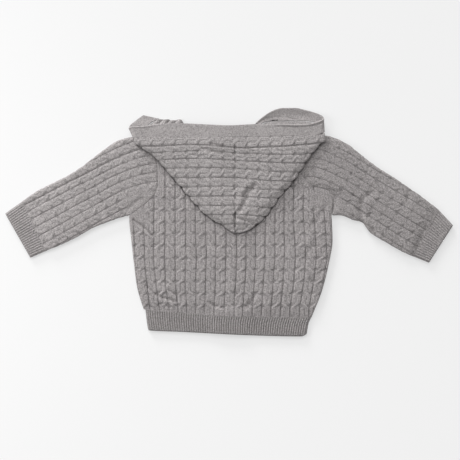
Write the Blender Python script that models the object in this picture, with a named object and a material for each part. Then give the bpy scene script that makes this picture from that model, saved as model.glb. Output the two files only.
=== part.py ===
"""Baby's hooded cable-knit cardigan, laid out face down with its hood thrown down on its back.

+X is the wearer's right, +Y runs from the hem towards the hood, +Z is up. The origin is at the
middle of the garment's footprint, on the surface that it lies on. Every size below is in
millimetres, and the meshes are made in metres.

Each knitted piece is a wall of cloth. The body and the sleeves are flattened tubes: the fronts
lie on the surface, the back lies on the fronts, and the hood, a flattened bag with its centre
seam on top, lies on the back. Pieces that are sewn together keep a small gap at the seam.
"""

import bpy
import bmesh
import numpy as np

MM = 0.001

# Cloth
WALL = 2.4              # cable knit
RIB_WALL = 1.8          # rib and plain knit
SEAM = 0.3              # gap between two sewn pieces
HALF_SEAM = SEAM / 2
SLEEVE_GAP = 2.6        # air between the two layers of a body or sleeve
RIB_GAP = 1.8           # air between the two layers of a rib
ROLL = 3.6              # width of the rounded edge where a layer turns down to its side seam
SIDE_ROLL_TOP = 2.0     # height up to which the body's sides are rounded
SIDE_ROLL_EASE = 14.0   # length over which they go flat to meet the sleeves
CUFF_INSET = 0.004       # how much each edge of a cuff is drawn in at its seam, as a share of its width

BODY_HEIGHT = 2 * WALL + SLEEVE_GAP
RIB_HEIGHT = 2 * RIB_WALL + RIB_GAP
NEAR_RIB_HEIGHT = 5.8   # body and sleeve height where they meet a rib
EASE = 16.0             # length over which the height changes to it

# Front opening
CENTRE_FRONT = 1.0
BAND_WIDTH = 19.0
BUTTON_RADIUS = 5.5
BUTTON_THICKNESS = 1.7
BUTTON_BEVEL = 0.4
BUTTON_RIM = 1.2        # width of the raised rim
BUTTON_HOLLOW = 0.5     # depth of the face inside it
BUTTON_HEIGHTS = (-128.0, -78.0, -28.0, 22.0, 72.0)
BAND_LIFT = BUTTON_THICKNESS + SEAM
BAND_LIFT_FROM = -157.0
BAND_LIFT_TO = -138.0
LEFT_EDGE_LIFT = 1.2    # the left front meets its band this far above the right band's floor
PLACKET_TOP = BAND_LIFT + 2 * RIB_WALL + SEAM
PLACKET_SLOPE = 28.0    # width over which the layers come down beside the bands

# Hood
CENTRE_BACK = 8.6       # centre seam of the hood
HOOD_GAP = 2.2
HOOD_BASE = BODY_HEIGHT + SEAM
HOOD_HEIGHT = 2 * WALL + HOOD_GAP
HOOD_EDGE = 129.0       # above this the lower layer comes down to the surface
HOOD_FALL = 16.0
HOOD_PINCH = 0.12       # share of the hood's length over which it flattens at its tip
UNDER_POWER = 3         # how fast the lower layer's shift at its face edge fades towards the tip
HOOD_ROW_POWER = 1.1    # spacing of the hood's rows and columns, closer at the face edge and centre
HOOD_COLUMN_POWER = 1.4

# Mesh density
ROLL_STEPS = 3
BODY_COLUMNS = 10
BACK_SLOPE_COLUMNS = 4  # over the slope beside the front bands, on the back and on the fronts
FRONT_SLOPE_COLUMNS = 6
BAND_ROWS = (0.0, 0.02, 0.04, 0.06, 0.08, 0.1, 0.23, 0.36, 0.49, 0.61, 0.74, 0.87, 1.0)
BODY_ROWS = 7           # below the underarm
RIB_ROWS = (0.0, 0.35, 0.7, 0.9, 1.0)
SLEEVE_COLUMNS = 6
SLEEVE_ROWS = 12
HOOD_COLUMNS = 9
HOOD_ROWS = 15
BAND_STEPS = 2          # rows of faces between two rows of the face band's table
BUTTON_SIDES = 16

# Colours, as linear red, green and blue
CABLE_GREY = (0.300, 0.283, 0.279)
RIB_GREY = (0.252, 0.236, 0.232)
BAND_GREY = (0.345, 0.326, 0.323)
BUTTON_GREY = (0.420, 0.395, 0.370)

# Sides of the body, with the armholes above the underarm: height, left edge, right edge
SHOULDER = 121.0
UNDERARM = 9.5
BODY_SIDES = (
    (-134.0, -117.6, 115.6),
    (-125.0, -119.0, 119.1),
    (-108.5, -124.2, 126.0),
    (-91.7, -128.8, 131.8),
    (-58.1, -133.4, 140.0),
    (-24.5, -137.2, 145.4),
    (9.5, -140.2, 144.4),
    (14.0, -134.0, 144.6),
    (23.1, -121.5, 145.6),
    (35.7, -106.6, 145.0),
    (45.0, -101.5, 139.0),
    (51.0, -100.0, 120.0),
    (57.0, -99.6, 109.4),
    (80.5, -100.8, 107.1),
    (121.0, -102.2, 109.2),
)

# Seam where the body meets its hem rib, and the hem: across, seam height, hem height
HEM = (
    (-120.0, -121.4, -150.4),
    (-110.0, -122.8, -151.5),
    (-68.6, -126.6, -153.3),
    (-12.6, -130.4, -156.1),
    (43.4, -132.2, -158.6),
    (99.0, -133.4, -159.7),
    (118.0, -133.0, -157.0),
)

# Sides of the hem rib: down from the seam as a share of its height, left edge, right edge
RIB_SIDES = (
    (0.0, -117.2, 115.4),
    (0.35, -116.3, 111.7),
    (0.75, -114.7, 109.7),
    (0.94, -113.6, 108.2),
    (1.0, -112.8, 104.4),
)

# Tops of the back and fronts, from shoulder to neck: across, back, front
NECKLINE = (
    (-102.5, 121.0, 121.0),
    (-75.0, 124.0, 123.5),
    (-50.0, 125.5, 124.0),
    (-32.0, 121.0, 112.0),
    (-9.0, 119.0, 97.0),
    (1.0, 119.0, 95.0),
    (11.0, 119.0, 97.0),
    (34.0, 121.0, 112.0),
    (52.0, 125.5, 124.0),
    (80.0, 124.0, 123.5),
    (109.5, 121.0, 121.0),
)

# Upper and lower edge of each sleeve, on from the shoulder and the underarm to the cuff's seam
LEFT_SLEEVE_TOP = (
    (-120.0, 121.4), (-138.8, 120.0), (-157.0, 114.5), (-179.4, 99.1),
    (-201.8, 82.3), (-224.2, 67.0), (-246.6, 55.9), (-269.0, 44.5), (-290.6, 29.6),
)
LEFT_SLEEVE_BOTTOM = (
    (-156.8, 5.4), (-168.0, 1.1), (-190.4, -7.6), (-212.8, -20.4),
    (-235.2, -31.4), (-257.2, -40.6),
)
RIGHT_SLEEVE_TOP = (
    (125.0, 121.9), (141.6, 121.4), (164.2, 111.8), (186.8, 93.8),
    (209.2, 77.1), (231.6, 63.1), (254.0, 47.8), (276.4, 32.5), (294.6, 17.9),
)
RIGHT_SLEEVE_BOTTOM = (
    (158.0, 9.4), (175.0, 3.0), (186.2, -0.1), (197.6, -14.0),
    (219.8, -28.0), (242.2, -40.7), (257.6, -47.8),
)

# Cuffs: the two ends of the wrist edge
LEFT_WRIST = ((-314.0, 12.8), (-278.4, -49.6))
RIGHT_WRIST = ((314.4, -3.6), (280.2, -56.6))

# Folded side of each half of the hood: height on the centre seam, then the fold's place
LEFT_HOOD = (
    (119.4, -133.0, 118.8),
    (112.0, -131.6, 111.6),
    (104.0, -121.6, 103.0),
    (96.0, -109.0, 95.0),
    (90.0, -103.8, 89.6),
    (84.0, -98.0, 83.8),
    (70.0, -86.8, 71.0),
    (54.0, -72.4, 55.0),
    (38.0, -58.4, 39.0),
    (23.0, -45.4, 24.0),
    (10.0, -33.0, 11.6),
    (0.0, -20.4, 3.2),
    (-8.0, -8.0, -4.2),
    (-14.8, 1.4, -10.8),
)
RIGHT_HOOD = (
    (119.4, 133.2, 122.8),
    (115.6, 135.2, 116.4),
    (111.6, 133.4, 111.2),
    (108.4, 127.6, 107.6),
    (104.0, 123.8, 103.4),
    (96.0, 117.2, 95.6),
    (84.0, 109.0, 83.8),
    (70.0, 99.2, 70.0),
    (54.0, 87.4, 54.2),
    (38.0, 72.8, 38.0),
    (23.0, 62.6, 23.2),
    (10.0, 53.0, 10.6),
    (0.0, 43.6, 1.2),
    (-8.0, 33.0, -6.8),
    (-14.8, 19.0, -13.6),
)

# Top of the hood's lower layer, which peeps out above the band: across, height
LEFT_UNDER_EDGE = (
    (-133.0, 118.8), (-126.0, 124.4), (-118.0, 130.2), (-108.0, 139.2), (-98.0, 144.6), (-89.6, 144.4),
    (-85.4, 144.7), (-81.0, 143.2), (-76.0, 143.2), (-69.7, 145.0), (-66.0, 143.0),
    (-63.0, 137.6), (-55.0, 128.0), (-30.0, 123.0), (8.6, 121.0),
)
RIGHT_UNDER_EDGE = (
    (133.2, 122.8), (130.6, 123.2), (129.0, 126.4), (126.2, 132.8), (120.0, 138.6), (112.0, 141.0),
    (98.0, 141.8),
    (76.0, 141.8), (60.0, 141.2), (48.0, 138.4), (38.0, 131.0), (24.0, 124.0), (8.6, 121.0),
)

# The face band, from where it turns under on the left to its curled end on the right.
# Free edge (across, height, level) and sewn edge (across, height, level), row by row.
FACE_BAND = (
    (-120.4, 150.6, 1.4, -98.0, 145.6, 1.5),
    (-126.4, 146.2, 2.7, -109.0, 140.4, 4.2),
    (-132.8, 140.8, 6.2, -119.0, 131.2, 8.2),
    (-138.4, 136.0, 8.9, -129.6, 122.4, 9.2),
    (-139.8, 132.4, 11.3, -133.8, 119.2, 11.3),
    (-137.4, 133.8, 13.4, -131.2, 119.1, 13.5),
    (-118.0, 134.8, 13.8, -118.0, 119.2, 13.5),
    (-106.0, 136.8, 13.8, -104.0, 119.2, 13.5),
    (-90.0, 138.0, 13.8, -90.0, 119.3, 13.5),
    (-66.0, 138.4, 13.8, -66.0, 119.4, 13.5),
    (-30.0, 136.8, 13.8, -30.0, 119.6, 13.5),
    (1.0, 135.6, 13.8, 1.0, 119.8, 13.5),
    (36.0, 137.4, 13.8, 36.0, 120.6, 13.5),
    (70.0, 137.6, 13.8, 68.0, 121.4, 13.5),
    (94.0, 136.9, 14.0, 94.0, 122.1, 13.5),
    (112.0, 137.9, 13.8, 113.0, 122.6, 13.5),
    (123.0, 141.1, 12.8, 124.8, 123.3, 13.2),
    (129.6, 143.8, 10.8, 130.6, 125.4, 11.9),
    (132.0, 146.4, 8.2, 133.0, 127.2, 8.8),
    (129.8, 149.8, 6.2, 132.0, 131.6, 6.4),
    (119.6, 154.2, 5.0, 125.2, 138.2, 4.4),
    (107.0, 157.6, 4.3, 112.4, 142.2, 3.0),
    (92.0, 160.6, 3.9, 96.0, 142.6, 2.6),
    (76.0, 160.6, 3.8, 78.0, 142.6, 2.6),
    (61.0, 156.6, 4.0, 64.0, 142.2, 2.8),
    (49.4, 149.4, 5.0, 54.0, 141.4, 3.6),
    (41.4, 142.8, 7.2, 48.0, 140.2, 6.2),
    (37.0, 138.4, 9.6, 43.0, 136.2, 9.4),
)
BAND_COLUMNS = 4
LOOP_SAG = 1.4          # how far the curled end hollows between its edges
CURL_ROW = 18           # row of the table where the strip starts back behind itself
CURL_EASE = 0.08        # share of the strip's length over which it hollows
UPPER_BAND = 9.9        # the strip above this level lies on the hood


def clear_scene():
    """Start from an empty scene."""
    for item in list(bpy.data.objects):
        bpy.data.objects.remove(item, do_unlink=True)


def cloth(name, colour, roughness=0.92):
    """A matt material of one colour."""
    material = bpy.data.materials.new(name)
    material.use_nodes = True
    shader = material.node_tree.nodes["Principled BSDF"]
    shader.inputs["Base Color"].default_value = (*colour, 1.0)
    shader.inputs["Roughness"].default_value = roughness
    shader.inputs["Metallic"].default_value = 0.0
    return material


def reader(table, column=1):
    """A smooth curve through one column of a table, read at a value of its first column."""
    rows = np.array(sorted(table), dtype=float)
    knots = rows[:, 0]
    values = rows[:, column]
    chords = np.diff(values) / np.diff(knots)
    slopes = np.zeros(len(knots))
    slopes[0], slopes[-1] = chords[0], chords[-1]
    flat = chords[:-1] * chords[1:] <= 0.0
    slopes[1:-1] = np.where(flat, 0.0, (chords[:-1] + chords[1:]) / 2)

    def read(at):
        at = np.clip(at, knots[0], knots[-1])
        k = np.clip(np.searchsorted(knots, at) - 1, 0, len(knots) - 2)
        span = knots[k + 1] - knots[k]
        f = (at - knots[k]) / span
        start = values[k] * (1 + 2 * f) * (1 - f) ** 2 + slopes[k] * span * f * (1 - f) ** 2
        end = values[k + 1] * f ** 2 * (3 - 2 * f) - slopes[k + 1] * span * f ** 2 * (1 - f)
        return start + end

    return read


def path(points):
    """A smooth curve through points, read at 0 to 1 of its length."""
    points = np.array(points, dtype=float)
    steps = np.linalg.norm(np.diff(points, axis=0), axis=1)
    along = np.concatenate(([0.0], np.cumsum(steps))) / steps.sum()
    axes = [reader(list(zip(along, points[:, k]))) for k in range(points.shape[1])]

    def read(at):
        return np.stack([axis(at) for axis in axes], axis=-1)

    return read


def ease(value):
    """A smooth step from 0 to 1."""
    value = np.clip(value, 0.0, 1.0)
    return value * value * (3 - 2 * value)


def mix(start, end, share):
    return start + (end - start) * share


def finish_object(name, mesh_data, material):
    """Make the object, with its faces pointing out."""
    mesh = bpy.data.meshes.new(name)
    bmesh.ops.recalc_face_normals(mesh_data, faces=mesh_data.faces)
    bmesh.ops.triangulate(mesh_data, faces=mesh_data.faces)
    mesh_data.to_mesh(mesh)
    mesh_data.free()
    mesh.shade_smooth()
    mesh.set_sharp_from_angle(angle=np.radians(50))
    mesh.materials.append(material)
    item = bpy.data.objects.new(name, mesh)
    bpy.context.collection.objects.link(item)
    return item


def add_grid(mesh_data, points, wrap=False):
    """Add a grid of points and the faces between them. wrap joins its last column to its first."""
    verts = [[mesh_data.verts.new(point * MM) for point in row] for row in points]
    columns = len(verts[0])
    for i in range(len(verts) - 1):
        for j in range(columns if wrap else columns - 1):
            k = (j + 1) % columns
            mesh_data.faces.new((verts[i][j], verts[i][k], verts[i + 1][k], verts[i + 1][j]))
    return verts


def stitch(mesh_data, outer, inner, wrap=False):
    """Add the faces that join one edge of the outer grid to the same edge of the inner one."""
    for j in range(len(outer) if wrap else len(outer) - 1):
        k = (j + 1) % len(outer)
        mesh_data.faces.new((outer[j], outer[k], inner[k], inner[j]))


def sheet(name, outer, inner, material):
    """A wall of cloth between two grids of points."""
    mesh_data = bmesh.new()
    front = add_grid(mesh_data, outer)
    back = add_grid(mesh_data, inner)
    stitch(mesh_data, front[0], back[0])
    stitch(mesh_data, front[-1], back[-1])
    stitch(mesh_data, [row[0] for row in front], [row[0] for row in back])
    stitch(mesh_data, [row[-1] for row in front], [row[-1] for row in back])
    return finish_object(name, mesh_data, material)


def tube(name, outer, inner, material):
    """A wall of cloth round an open tube, between two grids whose rows are closed rings."""
    mesh_data = bmesh.new()
    front = add_grid(mesh_data, outer, wrap=True)
    back = add_grid(mesh_data, inner, wrap=True)
    stitch(mesh_data, front[0], back[0], wrap=True)
    stitch(mesh_data, front[-1], back[-1], wrap=True)
    return finish_object(name, mesh_data, material)


def placket_bump(x):
    """1 over the front bands, easing to 0 beside them."""
    away = np.abs(x - CENTRE_FRONT) - BAND_WIDTH / 2 - SEAM
    return 1.0 - ease(away / PLACKET_SLOPE)


def lift_over_placket(x, inside):
    """How far a layer whose inside is this high rises to clear the front bands."""
    return (PLACKET_TOP + SEAM - inside) * placket_bump(x)


def across(left, right, rolled, wall):
    """Where the points of one layer lie between its two edges, outside and inside.

    Returns the outer places, the inner places and their share of the turn down. rolled says
    how far each edge turns down: 1 at a side seam, 0 where the layer meets a flat neighbour.
    """
    turn = np.sin(np.linspace(0.0, np.pi / 2, ROLL_STEPS + 1))
    reach = 1.0 - np.cos(np.linspace(0.0, np.pi / 2, ROLL_STEPS + 1))
    slope = BAND_WIDTH / 2 + SEAM + np.linspace(0.0, PLACKET_SLOPE, BACK_SLOPE_COLUMNS)
    middle = np.concatenate((
        np.linspace(left + ROLL, CENTRE_FRONT - slope[-1], BODY_COLUMNS // 2)[1:-1],
        CENTRE_FRONT - slope[::-1],
        CENTRE_FRONT + slope,
        np.linspace(CENTRE_FRONT + slope[-1], right - ROLL, BODY_COLUMNS // 2)[1:-1],
    ))
    outer = np.concatenate((left + ROLL * reach, middle, right - ROLL * reach[::-1]))
    near_left = rolled[0] * wall + (ROLL - rolled[0] * wall) * reach
    near_right = rolled[1] * wall + (ROLL - rolled[1] * wall) * reach
    inner = np.concatenate((left + near_left, middle, right - near_right[::-1]))
    down_left = rolled[0] * (1.0 - turn)
    down_right = rolled[1] * (1.0 - turn)
    down = np.concatenate((down_left, np.zeros(len(middle)), down_right[::-1]))
    return outer, inner, down


def body_height(y, seam_height):
    """Height of the flattened body, lower where it is drawn in to its rib."""
    return mix(NEAR_RIB_HEIGHT, BODY_HEIGHT, ease((y - seam_height) / EASE))


def side_roll(y):
    """How far the side of the body turns down: fully at the side seams, not at the armholes."""
    return 1.0 - ease((y - SIDE_ROLL_TOP) / SIDE_ROLL_EASE)


def armhole(side):
    """The points down an armhole where the rows of the body meet the columns of a sleeve.

    Returns their shares of the way down, their places across and their heights.
    """
    edge = reader(BODY_SIDES, 1 if side < 0 else 2)
    width = np.hypot(edge(SHOULDER) - edge(UNDERARM), SHOULDER - UNDERARM)
    end = ROLL / width
    shares = np.concatenate(([0.0], np.linspace(end, 1.0 - end, SLEEVE_COLUMNS + 1), [1.0]))
    heights = mix(SHOULDER, UNDERARM, shares)
    return shares, edge(heights), heights


def body_rows(side, start):
    """Heights of the rows up one side of the body: to the underarm, then up the armhole."""
    below = np.linspace(start, UNDERARM, BODY_ROWS + 1)[:-1]
    return np.concatenate((below, armhole(side)[2][::-1]))


def body_back(material):
    left_side, right_side = reader(BODY_SIDES, 1), reader(BODY_SIDES, 2)
    seam_line, top_line = reader(HEM, 1), reader(NECKLINE, 1)
    left_start, right_start = seam_line(BODY_SIDES[0][1]) + SEAM, seam_line(BODY_SIDES[0][2]) + SEAM
    outer, inner = [], []
    for left_y, right_y in zip(body_rows(-1, left_start), body_rows(1, right_start)):
        left = left_side(left_y) + HALF_SEAM
        right = right_side(right_y) - HALF_SEAM
        left_share = (left_y - left_start) / (SHOULDER - left_start)
        right_share = (right_y - right_start) / (SHOULDER - right_start)
        rolled = (side_roll(left_y), side_roll(right_y))
        x_outer, x_inner, down = across(left, right, rolled, WALL)
        rows = []
        for x, wall in ((x_outer, 0.0), (x_inner, WALL)):
            place = (x - left) / (right - left)
            y = mix(seam_line(x) + SEAM, top_line(x), mix(left_share, right_share, place))
            y = y + mix(left_y - y[0], right_y - y[-1], place)
            height = body_height(y, seam_line(x))
            seam_level = height / 2 + HALF_SEAM
            top = height + lift_over_placket(x, height - WALL) - wall
            z = top - down * (top - seam_level)
            rows.append(np.stack((x, y, z), axis=-1))
        outer.append(rows[0])
        inner.append(rows[1])
    return sheet("back", np.array(outer), np.array(inner), material)


def rib_back(material):
    left_side, right_side = reader(RIB_SIDES, 1), reader(RIB_SIDES, 2)
    seam_line, hem_line = reader(HEM, 1), reader(HEM, 2)
    outer, inner = [], []
    for v in RIB_ROWS:
        left, right = left_side(v), right_side(v)
        x_outer, x_inner, down = across(left, right, (1.0, 1.0), RIB_WALL)
        rows = []
        for x, wall in ((x_outer, 0.0), (x_inner, RIB_WALL)):
            y = mix(seam_line(x), hem_line(x), v)
            top = RIB_HEIGHT + lift_over_placket(x, RIB_HEIGHT - RIB_WALL) - wall
            z = top - down * (top - RIB_HEIGHT / 2 - HALF_SEAM)
            rows.append(np.stack((x, y, z), axis=-1))
        outer.append(rows[0])
        inner.append(rows[1])
    return sheet("back_rib", np.array(outer), np.array(inner), material)


def band_floor(y):
    """Level of the underside of the front bands: on the surface at the hem, on the buttons above."""
    return BAND_LIFT * ease((y - BAND_LIFT_FROM) / (BAND_LIFT_TO - BAND_LIFT_FROM))


def front_places(width, wall, rolled):
    """Across a front, from its side seam to its band: outer and inner places, share turned up."""
    turn = np.linspace(0.0, np.pi / 2, ROLL_STEPS + 1)
    reach = 1.0 - np.cos(turn)
    near = rolled * wall + (ROLL - rolled * wall) * reach
    slope = np.linspace(width - PLACKET_SLOPE, width, FRONT_SLOPE_COLUMNS)
    middle = np.linspace(ROLL, slope[0], BODY_COLUMNS // 2 + 1)[1:-1]
    outer = np.concatenate((ROLL * reach, middle, slope))
    inner = np.concatenate((near, middle, slope))
    turned = np.concatenate((rolled * (1.0 - np.sin(turn)), np.zeros(len(middle) + len(slope))))
    return outer, inner, turned


def front_piece(name, side, rows, wall, edge_level, material):
    """A front or its rib. rows give the side's place, roll, height and the two height lines."""
    outer, inner = [], []
    for row in rows:
        edge = CENTRE_FRONT + side * (BAND_WIDTH / 2 + SEAM)
        width = abs(edge - row["side"])
        places_out, places_in, turned = front_places(width, wall, row["roll"])
        both = []
        for places, level in ((places_out, 0.0), (places_in, wall)):
            x = row["side"] - side * places
            y = row["y"](x)
            y = y + (row["side_y"] - y[0]) * (1.0 - places / width)
            near = 1.0 - ease((width - places) / PLACKET_SLOPE)
            floor = level + edge_level(y) * near
            z = floor + turned * (row["height"] / 2 - HALF_SEAM - floor)
            both.append(np.stack((x, y, z), axis=-1))
        outer.append(both[0])
        inner.append(both[1])
    return sheet(name, np.array(outer), np.array(inner), material)


def fronts(cable, rib):
    """The two fronts and their hem ribs, flat on the surface and drawn up beside the bands."""
    seam_line, hem_line, top_line = reader(HEM, 1), reader(HEM, 2), reader(NECKLINE, 2)
    for side, label in ((-1, "left"), (1, "right")):
        column = 1 if side < 0 else 2
        body_side, rib_side = reader(BODY_SIDES, column), reader(RIB_SIDES, column)
        start = seam_line(BODY_SIDES[0][column]) + SEAM

        def edge_level(y, side=side):
            return band_floor(y) + (LEFT_EDGE_LIFT if side < 0 else 0.0)

        rows = []
        for y in body_rows(side, start):
            share = (y - start) / (SHOULDER - start)
            rows.append({
                "side": body_side(y) - side * HALF_SEAM,
                "side_y": y,
                "roll": side_roll(y),
                "height": body_height(y, start),
                "y": lambda x, share=share: mix(seam_line(x) + SEAM, top_line(x), share),
            })
        front_piece(f"front_{label}", side, rows, WALL, edge_level, cable)
        rows = []
        for v in RIB_ROWS:
            rows.append({
                "side": rib_side(v),
                "side_y": mix(seam_line(rib_side(v)), hem_line(rib_side(v)), v),
                "roll": 1.0,
                "height": RIB_HEIGHT,
                "y": lambda x, v=v: mix(seam_line(x), hem_line(x), v),
            })
        front_piece(f"front_rib_{label}", side, rows, RIB_WALL, edge_level, rib)


def front_bands(material):
    """The two bands of the front opening, buttoned, the right one outside the left one."""
    hem_line, top_line = reader(HEM, 2), reader(NECKLINE, 2)
    x = CENTRE_FRONT + np.linspace(-BAND_WIDTH / 2, BAND_WIDTH / 2, 4)
    for label, base in (("right", 0.0), ("left", RIB_WALL + SEAM)):
        outer, inner = [], []
        for v in BAND_ROWS:
            y = mix(hem_line(x), top_line(x), v)
            floor = band_floor(y) + base
            outer.append(np.stack((x, y, floor), axis=-1))
            inner.append(np.stack((x, y, floor + RIB_WALL), axis=-1))
        sheet(f"front_band_{label}", np.array(outer), np.array(inner), material)


def buttons(material):
    """Flat round buttons under the right band, each with a raised rim."""
    for number, y in enumerate(BUTTON_HEIGHTS, 1):
        mesh_data = bmesh.new()
        profile = (
            (BUTTON_RADIUS - BUTTON_BEVEL, BUTTON_THICKNESS),
            (BUTTON_RADIUS, BUTTON_THICKNESS - BUTTON_BEVEL),
            (BUTTON_RADIUS, BUTTON_BEVEL),
            (BUTTON_RADIUS - BUTTON_BEVEL, 0.0),
            (BUTTON_RADIUS - BUTTON_RIM, 0.0),
            (BUTTON_RADIUS - BUTTON_RIM - BUTTON_HOLLOW, BUTTON_HOLLOW),
        )
        angles = np.linspace(0.0, 2 * np.pi, BUTTON_SIDES, endpoint=False)
        rings = []
        for radius, level in profile:
            ring = np.stack((CENTRE_FRONT + radius * np.cos(angles),
                             y + radius * np.sin(angles),
                             np.full(BUTTON_SIDES, level)), axis=-1)
            rings.append(ring)
        verts = add_grid(mesh_data, rings, wrap=True)
        mesh_data.faces.new(verts[0])
        mesh_data.faces.new(verts[-1])
        finish_object(f"button_{number}", mesh_data, material)


def ring(width, height, wall):
    """A flattened ring of cloth: places across it and levels, round from its upper edge."""
    radius = height / 2 - wall
    turn = np.linspace(0.0, np.pi / 2, ROLL_STEPS + 1)
    near = wall + (ROLL - wall) * (1.0 - np.cos(turn))
    middle = np.linspace(ROLL, width - ROLL, SLEEVE_COLUMNS + 1)[1:-1]
    places = np.concatenate((near, middle, width - near[::-1]))
    levels = height / 2 + radius * np.concatenate((np.sin(turn), np.ones(len(middle)), np.sin(turn[::-1])))
    places = np.concatenate((places, places[-2:0:-1]))
    levels = np.concatenate((levels, height - levels[-2:0:-1]))
    return places, levels


def flat_tube(name, plan, lengths, heights, wall, material):
    """A flattened tube. plan(t, u) gives the place at t along it and u across it."""
    grids = []
    for inset in (0.0, wall):
        rings = []
        for t, height in zip(lengths, heights):
            width = np.linalg.norm(plan(t, np.array([0.0])) - plan(t, np.array([1.0])))
            places, levels = ring(width, height, inset)
            place = plan(t, places / width)
            rings.append(np.concatenate((place, levels[:, None]), axis=1))
        grids.append(np.array(rings))
    return tube(name, grids[0], grids[1], material)


def sleeve(side, cable, rib):
    """A sleeve from its armhole to its cuff, and the ribbed cuff."""
    label = "left" if side < 0 else "right"
    shares, seam_x, seam_y = armhole(side)
    seam_x = seam_x + side * HALF_SEAM
    shoulder, underarm = (seam_x[0], seam_y[0]), (seam_x[-1], seam_y[-1])
    top = path((shoulder, *(LEFT_SLEEVE_TOP if side < 0 else RIGHT_SLEEVE_TOP)))
    bottom = path((underarm, *(LEFT_SLEEVE_BOTTOM if side < 0 else RIGHT_SLEEVE_BOTTOM)))
    wrist = np.array(LEFT_WRIST if side < 0 else RIGHT_WRIST)

    def armhole_place(u):
        return np.stack((np.interp(u, shares, seam_x), np.interp(u, shares, seam_y)), axis=-1)

    def plan(t, u):
        """Fill the outline between its four edges."""
        u = np.asarray(u, dtype=float)[:, None]
        armhole_edge = armhole_place(u[:, 0])
        cuff_edge = mix(top(1.0), bottom(1.0), u)
        sides = mix(top(t), bottom(t), u)
        ends = mix(armhole_edge, cuff_edge, t)
        corners = mix(mix(top(0.0), bottom(0.0), u), cuff_edge, t)
        return sides + ends - corners

    lengths = np.linspace(0.0, 1.0, SLEEVE_ROWS + 1)
    run = np.linalg.norm(top(1.0) - top(0.0))
    heights = mix(NEAR_RIB_HEIGHT, BODY_HEIGHT, ease((1.0 - lengths) * run / EASE))
    flat_tube(f"sleeve_{label}", plan, lengths, heights, WALL, cable)

    def cuff_plan(t, u):
        u = np.asarray(u, dtype=float)[:, None]
        inset = CUFF_INSET * (1.0 - t)
        u = inset + u * (1.0 - 2 * inset)
        seam_edge = mix(top(1.0), bottom(1.0), u)
        wrist_edge = mix(wrist[0], wrist[1], u)
        along = wrist_edge - seam_edge
        length = np.linalg.norm(along, axis=1, keepdims=True)
        return seam_edge + along * mix(SEAM / length, 1.0, t)

    flat_tube(f"cuff_{label}", cuff_plan, np.linspace(0.0, 1.0, 4), np.full(4, RIB_HEIGHT), RIB_WALL, rib)


def under_level(y):
    """Level of the underside of the hood's lower layer: on the back, then down to the surface."""
    return HOOD_BASE * (1.0 - ease((y - HOOD_EDGE) / HOOD_FALL))


def hood_half(side, material):
    """Half of the hood: its upper layer from the centre seam, its fold, and its lower layer."""
    label = "left" if side < 0 else "right"
    table = LEFT_HOOD if side < 0 else RIGHT_HOOD
    fold_x, fold_y = reader(table, 1), reader(table, 2)
    under_edge = reader(LEFT_UNDER_EDGE if side < 0 else RIGHT_UNDER_EDGE)
    seam_top, seam_tip = table[0][0], table[-1][0]
    centre_x = CENTRE_BACK + side * HALF_SEAM
    outer, inner = [], []
    for v in np.linspace(0.0, 1.0, HOOD_ROWS + 1):
        seam_y = mix(seam_top, seam_tip, v ** HOOD_ROW_POWER)
        fold = np.array((fold_x(seam_y), fold_y(seam_y)))
        centre = np.array((centre_x, seam_y))
        length = np.linalg.norm(fold - centre)
        inward = (centre - fold) / length
        pinch = ease((1.0 - v) / HOOD_PINCH)
        height = mix(2 * WALL + 2 * SEAM, HOOD_HEIGHT, pinch)
        radius = height / 2
        lower_share = (1.0 - v) ** UNDER_POWER
        turn = np.linspace(0.0, np.pi, 2 * ROLL_STEPS - 1)
        lower = np.concatenate((np.zeros(HOOD_COLUMNS - 1), (1.0 - np.cos(turn)) / 2,
                                np.ones(HOOD_COLUMNS - 1)))
        both = []
        for inset in (0.0, WALL):
            leg = length - (length - radius) * np.linspace(0.0, 1.0, HOOD_COLUMNS) ** HOOD_COLUMN_POWER
            reach = np.concatenate((leg[:-1], radius - (radius - inset) * np.sin(turn), leg[::-1][1:]))
            level = np.concatenate((np.full(HOOD_COLUMNS - 1, radius - inset),
                                    (radius - inset) * np.cos(turn),
                                    np.full(HOOD_COLUMNS - 1, inset - radius)))
            place = fold + inward * reach[:, None]
            y = place[:, 1]
            along_top = (place[:, 0] - centre_x) / (table[0][1] - centre_x)
            stretch = (under_edge(place[:, 0]) - mix(seam_top, table[0][2], along_top)) * lower_share
            y = y + lower * stretch
            base = mix(HOOD_BASE, under_level(y), lower)
            z = base + radius + level + lift_over_placket(place[:, 0], BODY_HEIGHT - WALL)
            both.append(np.stack((place[:, 0], y, z), axis=-1))
        outer.append(both[0])
        inner.append(both[1])
    return sheet(f"hood_{label}", np.array(outer), np.array(inner), material)


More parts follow.
